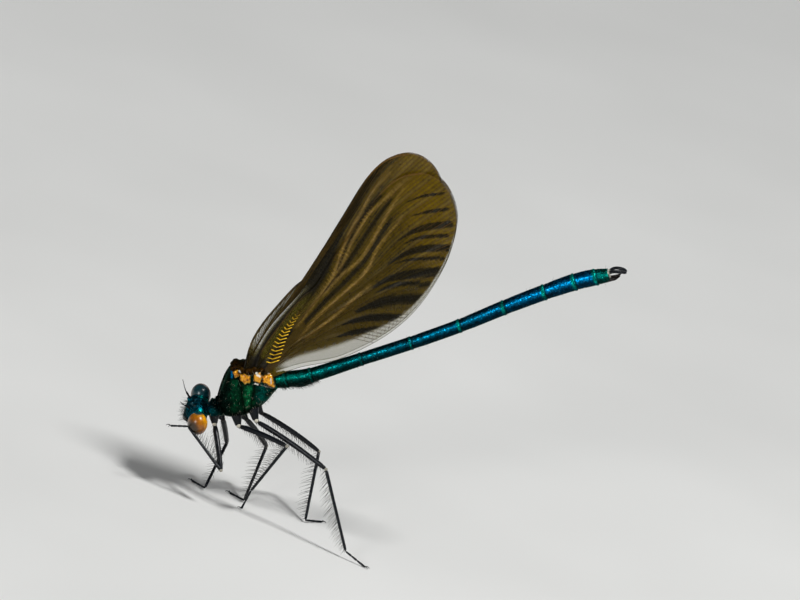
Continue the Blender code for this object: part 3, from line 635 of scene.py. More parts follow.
def skin_finish():
    """Metallic skin: its tint is painted, and painted glints, mottling and golden or pale places come on top."""
    skin = Finish("skin_metal", specular_ior_level=0.5, specular_tint=(0.3, 0.5, 0.45))
    tint = skin.marks("tint")[0]
    _, gold, pale, dark = skin.marks("marks")
    mottle = skin.ramp(skin.noise(1.7, 4.0), (0.3, 0.4), (0.5, 0.9), (0.72, 1.7))
    speck = skin.ramp(skin.noise(7.0, 2.0), (0.42, 0.6), (0.6, 1.2), (0.72, 2.4))
    base = skin.tinted(skin.tinted(tint, mottle), speck)
    # Painted highlights: small pale green glints scattered in patches over the metal
    painted_glints = skin.ramp(skin.cells(4.5), (0.0, (0.4, 0.6, 0.5)), (0.19, (0.0, 0.0, 0.0)))
    patchy = skin.ramp(skin.noise(1.3, 3.0), (0.5, 0.0), (0.7, 1.0))
    base = skin.mix(skin.product(patchy, 0.7), base, skin.mix(1.0, base, painted_glints, "ADD"))
    base = skin.mix(dark, base, (0.0016, 0.0015, 0.001))
    # Mottled amber for the golden plates, whose palest specks are painted highlights
    amber = skin.ramp(
        skin.noise(2.6, 4.0, 0.7),
        (0.34, (0.05, 0.012, 0.0)),
        (0.44, (0.5, 0.15, 0.0)),
        (0.52, (0.85, 0.36, 0.004)),
        (0.64, (1.0, 0.46, 0.015)),
        (0.74, (1.0, 0.8, 0.45)),
    )
    # The pale places are real pale marks and painted highlights at the hinges
    base = skin.mix(pale, skin.mix(gold, base, amber), (0.8, 0.76, 0.66))
    plain = skin.maths("MAXIMUM", skin.product(gold, 0.7), pale)
    skin.set(base_color=base, metallic=skin.maths("SUBTRACT", 0.95, skin.product(plain, 0.93)))
    rough = skin.span(skin.noise(5.0, 3.0), 0.3, 0.75, 0.2, 0.42)
    rough = skin.maths("ADD", rough, skin.product(dark, 0.22))
    skin.set(roughness=skin.maths("SUBTRACT", rough, skin.product(gold, 0.12)))
    skin.set(coat_weight=skin.product(skin.maths("MAXIMUM", gold, pale), 0.5), coat_roughness=0.06)
    grain = skin.ramp(skin.cells(8.5), (0.0, 0.0), (0.55, 1.0))
    fine = skin.bump(skin.noise(22.0, 2.0), 0.014, 0.6)
    skin.set(normal=skin.bump(grain, 0.04, 0.85, fine))
    return skin.material


def eye_finish():
    """Facets under a clear cornea, orange brown with painted shade, a painted glow and a painted teal reflection."""
    eye = Finish("eye", specular_ior_level=0.1, coat_weight=1.0, coat_roughness=0.27, roughness=0.3)
    tint = eye.marks("tint")[0]
    facets = eye.cells(26.0, "DISTANCE_TO_EDGE")
    lines = eye.ramp(facets, (0.0, 0.55), (0.12, 1.0))
    mottle = eye.ramp(eye.noise(2.4, 3.0), (0.35, 0.7), (0.65, 1.3))
    eye.set(base_color=eye.tinted(eye.tinted(tint, lines), mottle))
    eye.set(normal=eye.bump(eye.ramp(facets, (0.0, 0.0), (0.25, 1.0)), 0.008, 0.4))
    return eye.material


def wing_finish():
    """Dusky membrane whose paint says how dark, how clear and how pale it is: the dark holds painted pleat shade, the
    pale painted highlights.
    """
    wing = Finish("wing_membrane", specular_ior_level=0.1)
    _, dark, clear, pale = wing.marks("marks")
    streak = wing.span(wing.noise(2.2, 5.0, 0.65), 0.25, 0.75, 0.75, 1.3)
    tones = (
        (0.0, (0.2, 0.125, 0.001)),
        (0.28, (0.105, 0.066, 0.001)),
        (0.55, (0.052, 0.034, 0.001)),
        (1.0, (0.007, 0.005, 0.0004)),
    )
    # Painted highlights: pale specks along the highlight stripes
    painted_glints = wing.ramp(wing.noise(9.0, 3.0), (0.45, 0.0), (0.65, 1.0))
    speck = wing.product(pale, wing.span(painted_glints, 0.0, 1.0, 0.12, 0.9))
    base = wing.mix(speck, wing.ramp(dark, *tones), (0.45, 0.28, 0.12))
    base = wing.mix(clear, base, (0.15, 0.13, 0.015))
    wing.set(base_color=wing.tinted(base, wing.grey(streak)))
    cover = wing.product(wing.span(dark, 0.0, 1.0, 0.84, 0.97), wing.span(clear, 0.0, 1.0, 1.0, 0.36))
    cover = wing.product(cover, wing.span(streak, 0.7, 1.3, 0.94, 1.05))
    wing.set(alpha=wing.maths("MINIMUM", cover, 0.98))
    wing.set(roughness=wing.span(wing.noise(6.0, 3.0), 0.3, 0.7, 0.3, 0.55))
    wing.set(normal=wing.bump(wing.noise(9.0, 4.0), 0.02, 0.6))
    return wing.material


def vein_finish():
    """Veins as dark as the membrane around them, painted pleat shade included, golden where the paint says so."""
    vein = Finish("wing_veins", roughness=0.35, specular_ior_level=0.15)
    _, gold, clear, dark = vein.marks("marks")
    mottle = vein.span(vein.noise(4.0, 3.0), 0.3, 0.7, 0.6, 1.4)
    tones = ((0.0, (0.16, 0.08, 0.012)), (0.5, (0.05, 0.027, 0.003)), (1.0, (0.004, 0.003, 0.001)))
    base = vein.ramp(dark, *tones)
    base = vein.mix(clear, base, (0.045, 0.03, 0.006))
    base = vein.mix(gold, base, (1.0, 0.6, 0.03))
    vein.set(base_color=vein.tinted(base, vein.grey(mottle)), metallic=vein.product(gold, 0.35))
    vein.set(normal=vein.bump(vein.noise(30.0, 2.0), 0.006, 0.5))
    return vein.material


def leg_finish():
    """Black chitin with a bluish bloom, brown in places and pale at the joints."""
    leg = Finish("leg_black", specular_ior_level=0.16, coat_weight=0.12, coat_roughness=0.15)
    _, pale, brown, _ = leg.marks("marks")
    bloom = leg.ramp(leg.noise(2.0, 4.0, 0.7), (0.3, (0.0015, 0.002, 0.003)), (0.75, (0.006, 0.009, 0.014)))
    base = leg.mix(brown, bloom, (0.014, 0.007, 0.003))
    base = leg.mix(pale, base, (0.7, 0.66, 0.55))
    leg.set(base_color=base, roughness=leg.span(leg.noise(6.0, 3.0), 0.3, 0.7, 0.24, 0.5))
    grain = leg.bump(leg.noise(16.0, 3.0), 0.018, 0.5)
    leg.set(normal=leg.bump(leg.ramp(leg.cells(9.0), (0.0, 0.0), (0.3, 1.0)), 0.02, 0.5, grain))
    return leg.material


def bristle_finish(name, colour):
    bristle = Finish(name, roughness=0.35)
    shade = bristle.span(bristle.noise(3.0, 3.0), 0.3, 0.7, 0.6, 1.6)
    bristle.set(base_color=bristle.tinted(colour, bristle.grey(shade)))
    return bristle.material


SKIN = skin_finish()
EYE = eye_finish()
WING = wing_finish()
VEIN = vein_finish()
LEG = leg_finish()
BRISTLE = bristle_finish("bristle_dark", (0.012, 0.01, 0.008))
PALE_HAIR = bristle_finish("hair_pale", (0.35, 0.32, 0.24))


# The skin of head, thorax and abdomen


def section(s, back, belly, half_width, squareness, sides):
    """One cross-section of the body, as points (s, y, h) of a squarish oval."""
    angles = 2 * math.pi * np.arange(sides) / sides
    across, up = np.cos(angles), np.sin(angles)
    y = half_width * np.sign(across) * np.abs(across) ** (2 / squareness)
    h = (back - belly) / 2 * np.sign(up) * np.abs(up) ** (2 / squareness)
    return np.stack([np.full(sides, s), y, (back + belly) / 2 + h], axis=1)


def flank_y(s, h):
    """How far out the thorax's flank lies at a place on it."""
    stations = smooth_path(THORAX, 4)
    back, belly, half_width = (np.interp(s, stations[:, 0], stations[:, k]) for k in (1, 2, 3))
    level = np.abs(h - (back + belly) / 2) / ((back - belly) / 2)
    return half_width * np.maximum(0.02, 1 - level**THORAX_SQUARENESS) ** (1 / THORAX_SQUARENESS)


PROTHORAX_LOBES = ((0.0, 0.55), (0.14, 0.86), (0.34, 0.78), (0.5, 1.0), (0.66, 0.9), (1.0, 0.98))
WING_ROOT_LUMPS = ((-3.5, 2.9, 1.25), (-2.8, 2.55, 1.45), (-2.1, 2.2, 1.5), (-1.5, 2.1, 1.4), (-0.8, 1.75, 1.2))
CREST_LUMPS = ((-3.3, 3.2), (-2.2, 2.9), (-1.3, 2.3))


def lump(s, y, h, radii, sides=24):
    """A small ellipsoid that lies along the body."""
    return ellipsoid(body((s, y, h)), BODY_AXES, radii, sides, round(0.6 * sides))


def thorax_forms():
    """Closed forms that overlap and become the thorax."""
    yield loft([body(section(*row, THORAX_SQUARENESS, 48)) for row in smooth_path(THORAX, 6)])
    axis = PROTHORAX_BACK - PROTHORAX_FRONT
    across = unit(np.array([-axis[2], 0.0, axis[0]]))
    angles = 2 * math.pi * np.arange(36) / 36
    rings = []
    for t, k in smooth_path(PROTHORAX_LOBES, 5):
        ring = np.outer(PROTHORAX_HALF_WIDTH * k * np.cos(angles), (0, 1, 0))
        ring = ring + np.outer(PROTHORAX_HALF_HEIGHT * k * np.sin(angles), across)
        rings.append(body(PROTHORAX_FRONT + t * axis + ring))
    yield loft(rings)
    for sign in (-1, 1):
        for s, h, long, high in HINGE_LUMPS:
            yield lump(s, sign * (flank_y(s, h) - 0.16), h, (long * 1.1, 0.4, high * 1.1))
        # Small lumps of the skin under the painted hinge highlights
        for *ends, size in PAINTED_HINGE_GLINTS:
            for s, h in ends:
                yield lump(s, sign * (flank_y(s, h) + 0.12), h, (size * 1.4, 0.1, size * 1.2), 16)
        for s, h, y in WING_ROOT_LUMPS:
            yield lump(s, sign * y, h, (0.42, 0.4, 0.42))
        for s, h in COXA_ROOT.values():
            yield lump(s, sign * 0.85, h + 0.1, (0.75, 0.7, 0.75))
    for s, h in CREST_LUMPS:
        yield lump(s, 0.0, h, (0.55, 0.6, 0.28))
    nape = [head((-0.5, 0.0, -0.05)), head((-1.2, 0.0, -0.2))]
    neck = smooth_path([*nape, body((-7.3, 0.0, -0.55)), body((-6.9, 0.0, -0.7))], 5)
    yield tube(neck, np.full(len(neck), 0.5), 24)


# Simple eyes and lobes of the head: centres and radii, as (forward, left, up)
OCELLI = ((0.62, 0.0, 1.05), (0.25, 0.4, 1.15), (0.25, -0.4, 1.15))
OCELLUS_RADIUS = 0.17
HEAD_LOBES = (
    ((0.0, 0.0, 0.0), (1.05, 2.35, 1.15)),
    ((0.6, 0.0, 0.0), (0.75, 1.15, 0.8)),
    ((0.5, 0.0, 0.55), (0.7, 1.15, 0.5)),
    ((1.05, 0.0, -0.8), (0.5, 0.85, 0.42)),
    ((1.15, 0.0, -1.35), (0.52, 0.68, 0.4)),
    ((0.4, 0.0, -1.5), (0.75, 0.7, 0.34)),
    ((-0.55, 0.0, 0.0), (0.6, 1.5, 0.85)),
    ((0.9, 0.5, -1.4), (0.42, 0.34, 0.36)),
    ((0.9, -0.5, -1.4), (0.42, 0.34, 0.36)),
    ((0.92, 0.66, 0.9), (0.26, 0.26, 0.26)),
    ((0.92, -0.66, 0.9), (0.26, 0.26, 0.26)),
    *((place, (OCELLUS_RADIUS,) * 3) for place in OCELLI),
)
FACE_GROOVES = (-0.28, -0.88, -1.32)  # how far up the grooves between frons, clypeus and labrum lie


def fused(forms):
    """One closed skin over overlapping closed forms, by a voxel remesh."""
    whole = Shape()
    for points, faces in forms:
        whole.add(points, faces)
    points, faces, _, _ = whole.arrays()
    made = new_object("forms", mesh_of("forms", points, faces))
    remesh = made.modifiers.new("remesh", "REMESH")
    remesh.mode = "VOXEL"
    remesh.voxel_size = VOXEL
    soften = made.modifiers.new("soften", "SMOOTH")
    soften.factor = 0.5
    soften.iterations = SOFTENINGS
    return evaluated(made)


def vertex_values(mesh, key):
    values = np.empty(len(mesh.vertices) * 3, np.float32)
    mesh.vertices.foreach_get(key, values)
    return values.reshape(-1, 3)


def evaluated(made):
    """The points and triangles of what an object's modifiers make, with the object then removed."""
    graph = bpy.context.evaluated_depsgraph_get()
    mesh = bpy.data.meshes.new_from_object(made.evaluated_get(graph))
    mesh.calc_loop_triangles()
    faces = np.empty(len(mesh.loop_triangles) * 3, np.int32)
    mesh.loop_triangles.foreach_get("vertices", faces)
    points = vertex_values(mesh, "co").astype(float)
    bpy.data.objects.remove(made)
    bpy.data.meshes.remove(mesh)
    return points, faces.reshape(-1, 3)


def normals_of(points, faces):
    corners = points[faces]
    across = np.cross(corners[:, 1] - corners[:, 0], corners[:, 2] - corners[:, 0])
    normals = np.zeros_like(points)
    for k in range(3):
        np.add.at(normals, faces[:, k], across)
    return normals / np.maximum(np.linalg.norm(normals, axis=1), 1e-12)[:, None]


def near_line(flat, low, high):
    """How far each 2-D point lies from a straight line between two others."""
    low, high = np.array(low), np.array(high)
    way = high - low
    t = np.clip((flat - low) @ way / way.dot(way), 0, 1)
    return np.linalg.norm(low + t[:, None] * way - flat, axis=1)


def depth_inside(flat, corners):
    """How deep 2-D points lie inside a polygon, negative outside it, with a wavy edge."""
    corners = np.array(corners)
    following = np.roll(corners, -1, axis=0)
    turn = np.sign((corners[:, 0] * following[:, 1] - corners[:, 1] * following[:, 0]).sum())
    depth = np.full(len(flat), np.inf)
    for corner, after in zip(corners, following):
        way = unit(after - corner)
        off = flat - corner
        depth = np.minimum(depth, turn * (way[0] * off[:, 1] - way[1] * off[:, 0]))
    return depth + 0.05 * np.sin(9 * flat[:, 0] + 4 * flat[:, 1]) * np.sin(8 * flat[:, 1] - 3 * flat[:, 0])


def on_thorax(s):
    return smoothstep(-6.7, -6.4, s) * (1 - smoothstep(0.0, 0.4, s))


def eye_centre(sign):
    """An eye's centre in the head's frame."""
    return np.array([-EYE_BACK, sign * EYE_OUT, 0.0])


def eye_level(points, sign):
    """1 on an eye's surface, more outside it."""
    return np.linalg.norm((in_head(points) - eye_centre(sign)) / EYE_RADII, axis=1)


def carved(points, faces):
    """Sutures, keel, raised plates with furrows round them, grooves and rims worked into the skin of head and thorax.
    """
    normals = normals_of(points, faces)
    s, y, h = in_body(points).T
    push = np.zeros(len(points))
    flank = smoothstep(0.7, 1.1, np.abs(y)) * on_thorax(s)
    for low, high, depth in SUTURES:
        far = near_line(np.stack([s, h], axis=1), low, high)
        push -= depth * bell(far, 0.13) * flank
        push += 0.3 * depth * bell(far, 0.14, 0.28) * flank
    for corners in HINGE_PLATES:
        depth = depth_inside(np.stack([s, h], axis=1), corners)
        push += FURROW_DEPTH * smoothstep(-0.02, 0.1, depth) * flank
        push -= FURROW_DEPTH * bell(depth, 0.05, -0.08) * flank
    ahead = 1 / (1 + np.exp(4 * (s + 4.0))) * on_thorax(s)
    push += KEEL_RISE * bell(y, 0.14) * ahead * (h > 0)
    push -= FURROW_DEPTH * bell(np.abs(y), 0.12, 0.55) * ahead * (h > 0)
    f, left, up = in_head(points).T
    on_head = 1 - smoothstep(2.6, 2.9, length(f, left * 0.8, up))
    for sign in (-1, 1):
        push += FURROW_DEPTH * bell(eye_level(points, sign), 0.05, 1.06) * on_head
    # Grooves between frons, clypeus and labrum, and a groove down the crown
    front = smoothstep(0.5, 0.9, f) * (np.abs(left) < 1.1)
    for level in FACE_GROOVES:
        push -= FURROW_DEPTH * bell(up, 0.06, level) * front * on_head
    push -= 0.04 * bell(left, 0.08) * smoothstep(0.6, 1.0, up) * on_head
    return points + push[:, None] * normals


def abdomen_form():
    """A long loft of ten segments, each with a raised rim at its rear and a groove behind it."""
    joints = np.array(ABDOMEN)
    fine = smooth_path(joints, 10)
    stations = np.concatenate([np.arange(-0.6, 37.3, 0.09), joints[:, 0] - 0.03, [37.4, 37.45]])
    stations = np.unique(np.round(stations[stations <= 37.45], 3))
    rings = []
    for s in stations:
        h = np.interp(s, fine[:, 0], fine[:, 1])
        radius = np.interp(s, fine[:, 0], fine[:, 2])
        behind = s - joints[1:-1, 0]
        swell = 1.0 + 0.075 * bell(behind, 0.11, -0.16).sum()
        swell -= 0.085 * bell(behind, 0.07, 0.04).sum()
        swell -= 0.03 * bell(behind, 0.4, 0.5).sum()
        keel = GENITAL_SWELL * bell(s, GENITAL_REACH, GENITAL_PLACE)
        ring = section(s, h + radius, h - radius - keel, radius, 2.1, 64)
        shut = 1.0 if s < 37.38 else 0.82
        ring[:, 1:] = (0.0, h) + (ring[:, 1:] - (0.0, h)) * swell * shut
        rings.append(body(ring))
    return loft(rings)


def joined(first, second):
    """The Boolean union of two closed forms."""
    objects = [new_object(name, mesh_of(name, *form)) for name, form in (("first", first), ("second", second))]
    union = objects[0].modifiers.new("union", "BOOLEAN")
    union.operation = "UNION"
    union.solver = "MANIFOLD"
    union.object = objects[1]
    result = evaluated(objects[0])
    bpy.data.objects.remove(objects[1])
    return result


HEAD_TINT = (0.0, 0.06, 0.09)
RING_TINT = (0.0, 0.3, 0.24)
BLUE_TINT = (0.0, 0.3, 0.75)
TURQUOISE_HIGHLIGHT = (0.0, 0.24, 0.18)
# Tint of the metal at places along the body, as s and linear red, green and blue
BODY_TINTS = (
    (-8.0, 0.0, 0.05, 0.06),
    (-6.6, 0.001, 0.02, 0.02),
    (-6.3, 0.001, 0.006, 0.004),
    (-0.2, 0.001, 0.006, 0.004),
    (0.2, 0.0, 0.17, 0.12),
    (4.0, 0.0, 0.16, 0.15),
    (9.0, 0.0, 0.15, 0.18),
    (16.0, 0.0, 0.14, 0.24),
    (22.0, 0.0, 0.17, 0.33),
    (29.0, 0.0, 0.2, 0.46),
    (35.8, 0.0, 0.24, 0.56),
    (36.3, 0.0, 0.3, 0.28),
    (37.4, 0.0, 0.34, 0.26),
)
# Green zones of the flank: place along the slanted line s - 0.35 h, half width, and tint
THORAX_ZONES = (
    (-4.25, 0.5, (0.0, 0.028, 0.009)),
    (-2.85, 0.55, (0.003, 0.11, 0.035)),
    (-1.3, 0.6, (0.0, 0.07, 0.055)),
)


def skin_paint(points):
    """The skin's tint, with painted highlight and shade on the abdomen, and its golden, pale and black marks, some of
    them painted light and shade.
    """
    s, y, h = in_body(points).T
    flat = np.stack([s, h], axis=1)
    f, left, up = in_head(points).T
    stops = np.array(BODY_TINTS)
    tint = np.stack([np.interp(s, stops[:, 0], stops[:, k]) for k in (1, 2, 3)], axis=1)
    flank = smoothstep(0.7, 1.0, np.abs(y)) * on_thorax(s)
    slant = s - 0.35 * h + 0.16 * np.sin(4.1 * h + 1.3 * s) + 0.09 * np.sin(9.0 * h - 3.0 * s)
    for place, width, colour in THORAX_ZONES:
        zone = bell(slant, width, place) * smoothstep(-1.9, -1.2, h) * flank
        tint = tint + zone[:, None] * colour
    on_head = (length(f, left * 0.72, up * 0.9) < 1.95) & (s < -7.2)
    tint[on_head] = HEAD_TINT
    # Painted highlight along the abdomen's shoulders, and painted shade on top and below
    joints = np.array(ABDOMEN)
    axis_h = np.interp(s, joints[:, 0], joints[:, 1])
    radius = np.interp(s, joints[:, 0], joints[:, 2])
    low = np.where(s > 0.1, (h - axis_h) / radius, 0.4)
    painted_shoulder_highlight = bell(low, 0.33, 0.38)
    top = smoothstep(0.75, 1.0, low)
    painted_light_and_shade = 0.08 + 0.92 * np.maximum(painted_shoulder_highlight, 0.3 * top)
    tint = tint * painted_light_and_shade[:, None]
    gold, pale, dark = np.zeros((3, len(points)))
    for joint in joints[1:-1, 0]:
        wide = 0.08 + 0.14 * smoothstep(10.0, 30.0, joint)
        strength = 0.35 + 0.65 * smoothstep(8.0, 24.0, joint)
        # Each lighter rim is painted fainter on the underside, as painted shade
        rim = bell(s - joint, wide, -0.16, 4) * (0.15 + 0.85 * smoothstep(-0.7, 0.1, low))
        rim = rim * strength
        tint = tint * (1 - rim[:, None]) + rim[:, None] * RING_TINT
        dark += 0.85 * bell(s - joint, 0.08, 0.06)
    for corners in HINGE_PLATES:
        depth = depth_inside(flat, corners)
        # Each golden plate is painted darker towards its edge, as shade on its bulge
        gold = np.maximum(gold, smoothstep(-0.01, 0.06, depth) * (0.6 + 0.4 * smoothstep(0.04, 0.2, depth)) * flank)
        dark = np.maximum(dark, 0.95 * bell(depth, 0.12, -0.12) * flank)
    for low_end, high_end, depth in SUTURES[1:]:
        far = near_line(flat, low_end, high_end)
        dark = np.maximum(dark, 0.8 * bell(far, 0.2) * flank)
    blue = bell(near_line(flat, *BLUE_LINE), 0.1) * flank
    tint = tint + blue[:, None] * BLUE_TINT
    dark = dark * (1 - blue)
    # The back between the wings is black, and the belly is painted black as shade
    above = smoothstep(0.0, 0.3, h - np.interp(s, *BACK_EDGE)) * on_thorax(s)
    dark = np.maximum(dark, above * (1 - gold))
    gold = np.maximum(gold, 0.045 * above * smoothstep(-4.1, -3.5, s))
    dark = np.maximum(dark, smoothstep(-1.5, -2.1, h) * on_thorax(s) * 0.95)
    # Painted highlights at the hinges
    for low_end, high_end, size in PAINTED_HINGE_GLINTS:
        near = near_line(flat, low_end, high_end) / size
        near = near + 0.35 * np.sin(17 * s + 9 * h) * np.sin(13 * h - 5 * s)
        pale = np.maximum(pale, 0.95 * (1 - smoothstep(0.6, 1.2, near)) * flank)
    pale = np.maximum(pale, 0.25 * bell(near_line(flat, *PALE_HEM), 0.04) * flank)
    for place in OCELLI:
        far = length(f - place[0], left - place[1], up - place[2])
        gold = np.maximum(gold, 0.03 * (far < OCELLUS_RADIUS * 1.05))
    dark = np.maximum(dark, on_head * smoothstep(-0.45, -0.75, up) * smoothstep(0.2, 0.6, f) * 0.9)
    for sign in (-1, 1):
        spot = length(f - 1.35, left - 0.35 * sign, up + 1.08)
        pale = np.maximum(pale, 0.6 * bell(spot, 0.2))
        # A painted turquoise highlight on the head just behind each eye
        patch = bell(eye_level(points, sign), 0.13, 1.12) * smoothstep(0.1, -0.35, f) * smoothstep(-0.1, 0.3, up)
        tint = tint + (patch * on_head)[:, None] * TURQUOISE_HIGHLIGHT
    pale = np.maximum(pale, 0.85 * smoothstep(37.37, 37.42, s))
    return tint, np.clip(np.stack([gold, pale, dark * (1 - pale)], axis=1), 0, 1)


def skin():
    heads = [ellipsoid(head(centre), HEAD_AXES, radii, 40, 26) for centre, radii in HEAD_LOBES]
    points, faces = fused([*thorax_forms(), *heads])
    points, faces = joined((carved(points, faces), faces), abdomen_form())
    tint, marks = skin_paint(points)
    nodes = ["head", "prothorax", "synthorax"] + [f"abdomen_s{n}" for n in range(1, 11)]
    return piece("skin", points, faces, SKIN, "thorax_shell", nodes, tint=tint, marks=marks)


# Eyes, antennae and claspers


def eyes():
    for side, sign in HEAD_SIDES:
        near = side == "left"
        centre = head(eye_centre(sign))
        points, faces = ellipsoid(centre, HEAD_AXES, EYE_RADII, 96, 64)
        local = (points - centre) @ HEAD_AXES.T / EYE_RADII
        # Painted shade towards the face and below, and a painted orange glow behind
        shade = local @ unit(np.array([0.57, 0.81 * sign, 0.13]))
        dark = smoothstep(0.34, 0.88, shade)[:, None]
        painted_glow = smoothstep(-0.35, 0.5, -shade)[:, None]
        tint = (1 - painted_glow) * EYE_ORANGE + painted_glow * EYE_PAINTED_GLOW
        tint = (1 - dark) * tint + dark * EYE_PAINTED_SHADE
        # A painted teal reflection over the inner side, wider on the eye that is turned away from the sun; the far eye
        # is also painted darker in a band around it, as shade
        inner = local @ unit(np.array([-0.08, -0.56 * sign, 0.82]))
        low, high = (0.86, 0.97) if near else (0.22, 0.5)
        painted_reflection = smoothstep(low, high, inner)[:, None]
        rim = 0.0 if near else 0.85
        tint = tint * (1 - rim * bell(inner - low, 0.14, -0.08))[:, None]
        tint = (1 - painted_reflection) * tint + painted_reflection * EYE_PAINTED_REFLECTION
        piece(f"eye_{side}_globe", points, faces, EYE, "eyes", ["eye_" + side], tint=tint)


def antennae():
    for side, sign in HEAD_SIDES:
        root = np.array(ANTENNA_ROOT) * (1, sign, 1)
        tip = root + np.array(ANTENNA_REACH) * (1, sign, 1)
        knee = root + 0.4 * (tip - root) + np.array([0.12, 0.0, 0.0])
        path = resampled(smooth_path([head(root - (0.15, 0, 0.45)), head(root), head(knee), head(tip)], 8), 60)
        t = np.linspace(0, 1, len(path))
        points, faces = tube(path, np.interp(t, *ANTENNA_RADII), 14)
        marks = np.zeros_like(points)
        piece(f"antenna_{side}_feeler", points, faces, LEG, "leg_black", ["antenna_" + side], marks=marks)


def claspers():
    s, h, _ = ABDOMEN[-1]
    for side, sign in SIDES:
        bow = [
            (s - 0.3, sign * 0.4, h + 0.3),
            (s + 0.15, sign * 0.42, h + 0.34),
            (s + 0.4 * CERCUS_LENGTH, sign * 0.7, h + 0.34),
            (s + 0.8 * CERCUS_LENGTH, sign * 0.58, h + 0.02),
            (s + CERCUS_LENGTH, sign * 0.26, h - 0.28),
        ]
        path = resampled(smooth_path(body(bow), 8), 44)
        t = np.linspace(0, 1, len(path))
        points, faces = tube(path, np.interp(t, *CERCUS_RADII), 18, 2.4, 0.8)
        # Small teeth along the outer side
        out = smoothstep(0.0, 0.1, sign * (in_body(points)[:, 1] - sign * 0.6))
        points = points + (0.03 * out * np.sin(in_body(points)[:, 0] * 26))[:, None] * (0.0, sign, 0.0)
        pale = smoothstep(s + 0.25, s + 0.05, in_body(points)[:, 0])
        marks = np.outer(0.8 * pale, (1, 0, 0))
        piece(f"cercus_{side}_claw", points, faces, LEG, "clasper_black", ["cercus_" + side], marks=marks)
        low = [
            (s - 0.3, sign * 0.36, h - 0.38),
            (s + 0.15, sign * 0.4, h - 0.42),
            (s + 0.5 * PARAPROCT_LENGTH, sign * 0.45, h - 0.45),
            (s + PARAPROCT_LENGTH, sign * 0.3, h - 0.36),
        ]
        path = resampled(smooth_path(body(low), 8), 30)
        t = np.linspace(0, 1, len(path))
        points, faces = tube(path, np.interp(t, *PARAPROCT_RADII), 16)
        marks = np.full_like(points, (0.0, 0.6, 0.0))
        piece(f"paraproct_{side}_claw", points, faces, LEG, "clasper_black", ["paraproct_" + side], marks=marks)


# Wings


def as_hindwing(points):
    """Points of the forewing moved to the hindwing: shorter, broader behind, turned and set back."""
    points = np.array(points, float)
    points[:, 1] *= np.where(points[:, 1] > 0, HINDWING_TRAILING_BREADTH, 1.0)
    cos, sin = math.cos(HINDWING_TURN), math.sin(HINDWING_TURN)
    points = points * (HINDWING_LENGTH, 1.0) @ np.array([[cos, sin], [-sin, cos]]) + (0.0, HINDWING_SHIFT)
    near_base = 1 / (1 + (np.maximum(points[:, 0], 0.0) / HINDWING_BASE_REACH) ** 4)
    points[:, 1] += HINDWING_BASE_SHIFT * near_base
    return points


def wing_point(flat, y):
    direction = np.array([math.cos(WING_RISE), 0.0, math.sin(WING_RISE)])
    rear = np.array([math.sin(WING_RISE), 0.0, -math.cos(WING_RISE)])
    return WING_BASE + np.outer(flat[:, 0], direction) + np.outer(flat[:, 1], rear) + np.outer(y, (0, 1, 0))


def wing_family():
    """The long veins as rows of points: the leading margin, each vein, then the trailing margin."""
    outline = smooth_path(FOREWING_LEADING + FOREWING_TRAILING, 16)
    run = run_along(outline)

    def margin(at):
        return np.stack([np.interp(at, run, outline[:, k]) for k in (0, 1)], axis=-1)

    def nearest(point):
        return run[np.linalg.norm(outline - point, axis=1).argmin()]

    veins, ends = [], []
    for line in LONG_VEINS:
        end = nearest(line[-1])
        veins.append(resampled(smooth_path((*line[:-1], tuple(margin(end))), 12), ROWS))
        ends.append(end)
    first, last = ends[0] - 0.7, ends[-1] + 0.9
    leading = resampled(margin(np.linspace(0.0, first, 600)), ROWS)
    trailing = resampled(margin(np.linspace(run[-1], last, 600)), ROWS)
    return [leading, *veins, trailing], [first, *ends, last], margin


def between(first, second, first_end, second_end, margin, share):
    """The line a share of the way from one long vein to the next, bent to end on the margin."""
    t = np.linspace(0.0, 1.0, ROWS)[:, None]
    line = (1 - share) * first + share * second
    return line + t**5 * (margin(first_end + share * (second_end - first_end)) - line[-1])


def wing_sheet():
    """The membrane as a grid: rows of points across each sector, with the sector and share of each row."""
    veins, ends, margin = wing_family()
    rows, sectors, shares = [], [], []
    for k in range(len(veins) - 1):
        for i in range(STRIPS + (k == len(veins) - 2)):
            share = i / STRIPS
            rows.append(between(veins[k], veins[k + 1], ends[k], ends[k + 1], margin, share))
            sectors.append(k)
            shares.append(share)
    return np.array(rows), np.array(sectors), np.array(shares)


def sector_gaps(rows, sectors):
    """How wide the sector is at each point of the grid."""
    gaps = np.zeros(rows.shape[:2])
    for k in range(sectors.max() + 1):
        mine = np.flatnonzero(sectors == k)
        after = min(mine[-1] + 1, len(rows) - 1)
        gaps[mine] = np.linalg.norm(rows[after] - rows[mine[0]], axis=-1)
    return gaps


def pleats(gaps, shares):
    """Height of the corrugated membrane: the vein half way across a sector lies in a furrow."""
    share = shares[:, None]
    fold = 1 - np.abs(2 * share - 1)
    second = 1 - np.abs(2 * ((2 * share) % 1.0) - 1)
    return -0.15 * fold * smoothstep(0.4, 1.3, gaps) - 0.06 * second * smoothstep(0.9, 1.8, gaps)


def beside(flat, line):
    """How far points lie from a smooth line, on which side, and at what share of its length."""
    line = smooth_path(line, 4)
    run = run_along(line)
    far = np.full(len(flat), np.inf)
    side = np.zeros(len(flat))
    share = np.zeros(len(flat))
    for low, high, before, after in zip(line, line[1:], run, run[1:]):
        way = high - low
        off = flat - low
        at = np.clip(off @ way / way.dot(way), 0, 1)
        distance = np.linalg.norm(off - at[:, None] * way, axis=1)
        nearer = distance < far
        far[nearer] = distance[nearer]
        side[nearer] = np.sign(way[0] * off[nearer, 1] - way[1] * off[nearer, 0])
        share[nearer] = (before + at[nearer] * (after - before)) / run[-1]
    return far, side, share


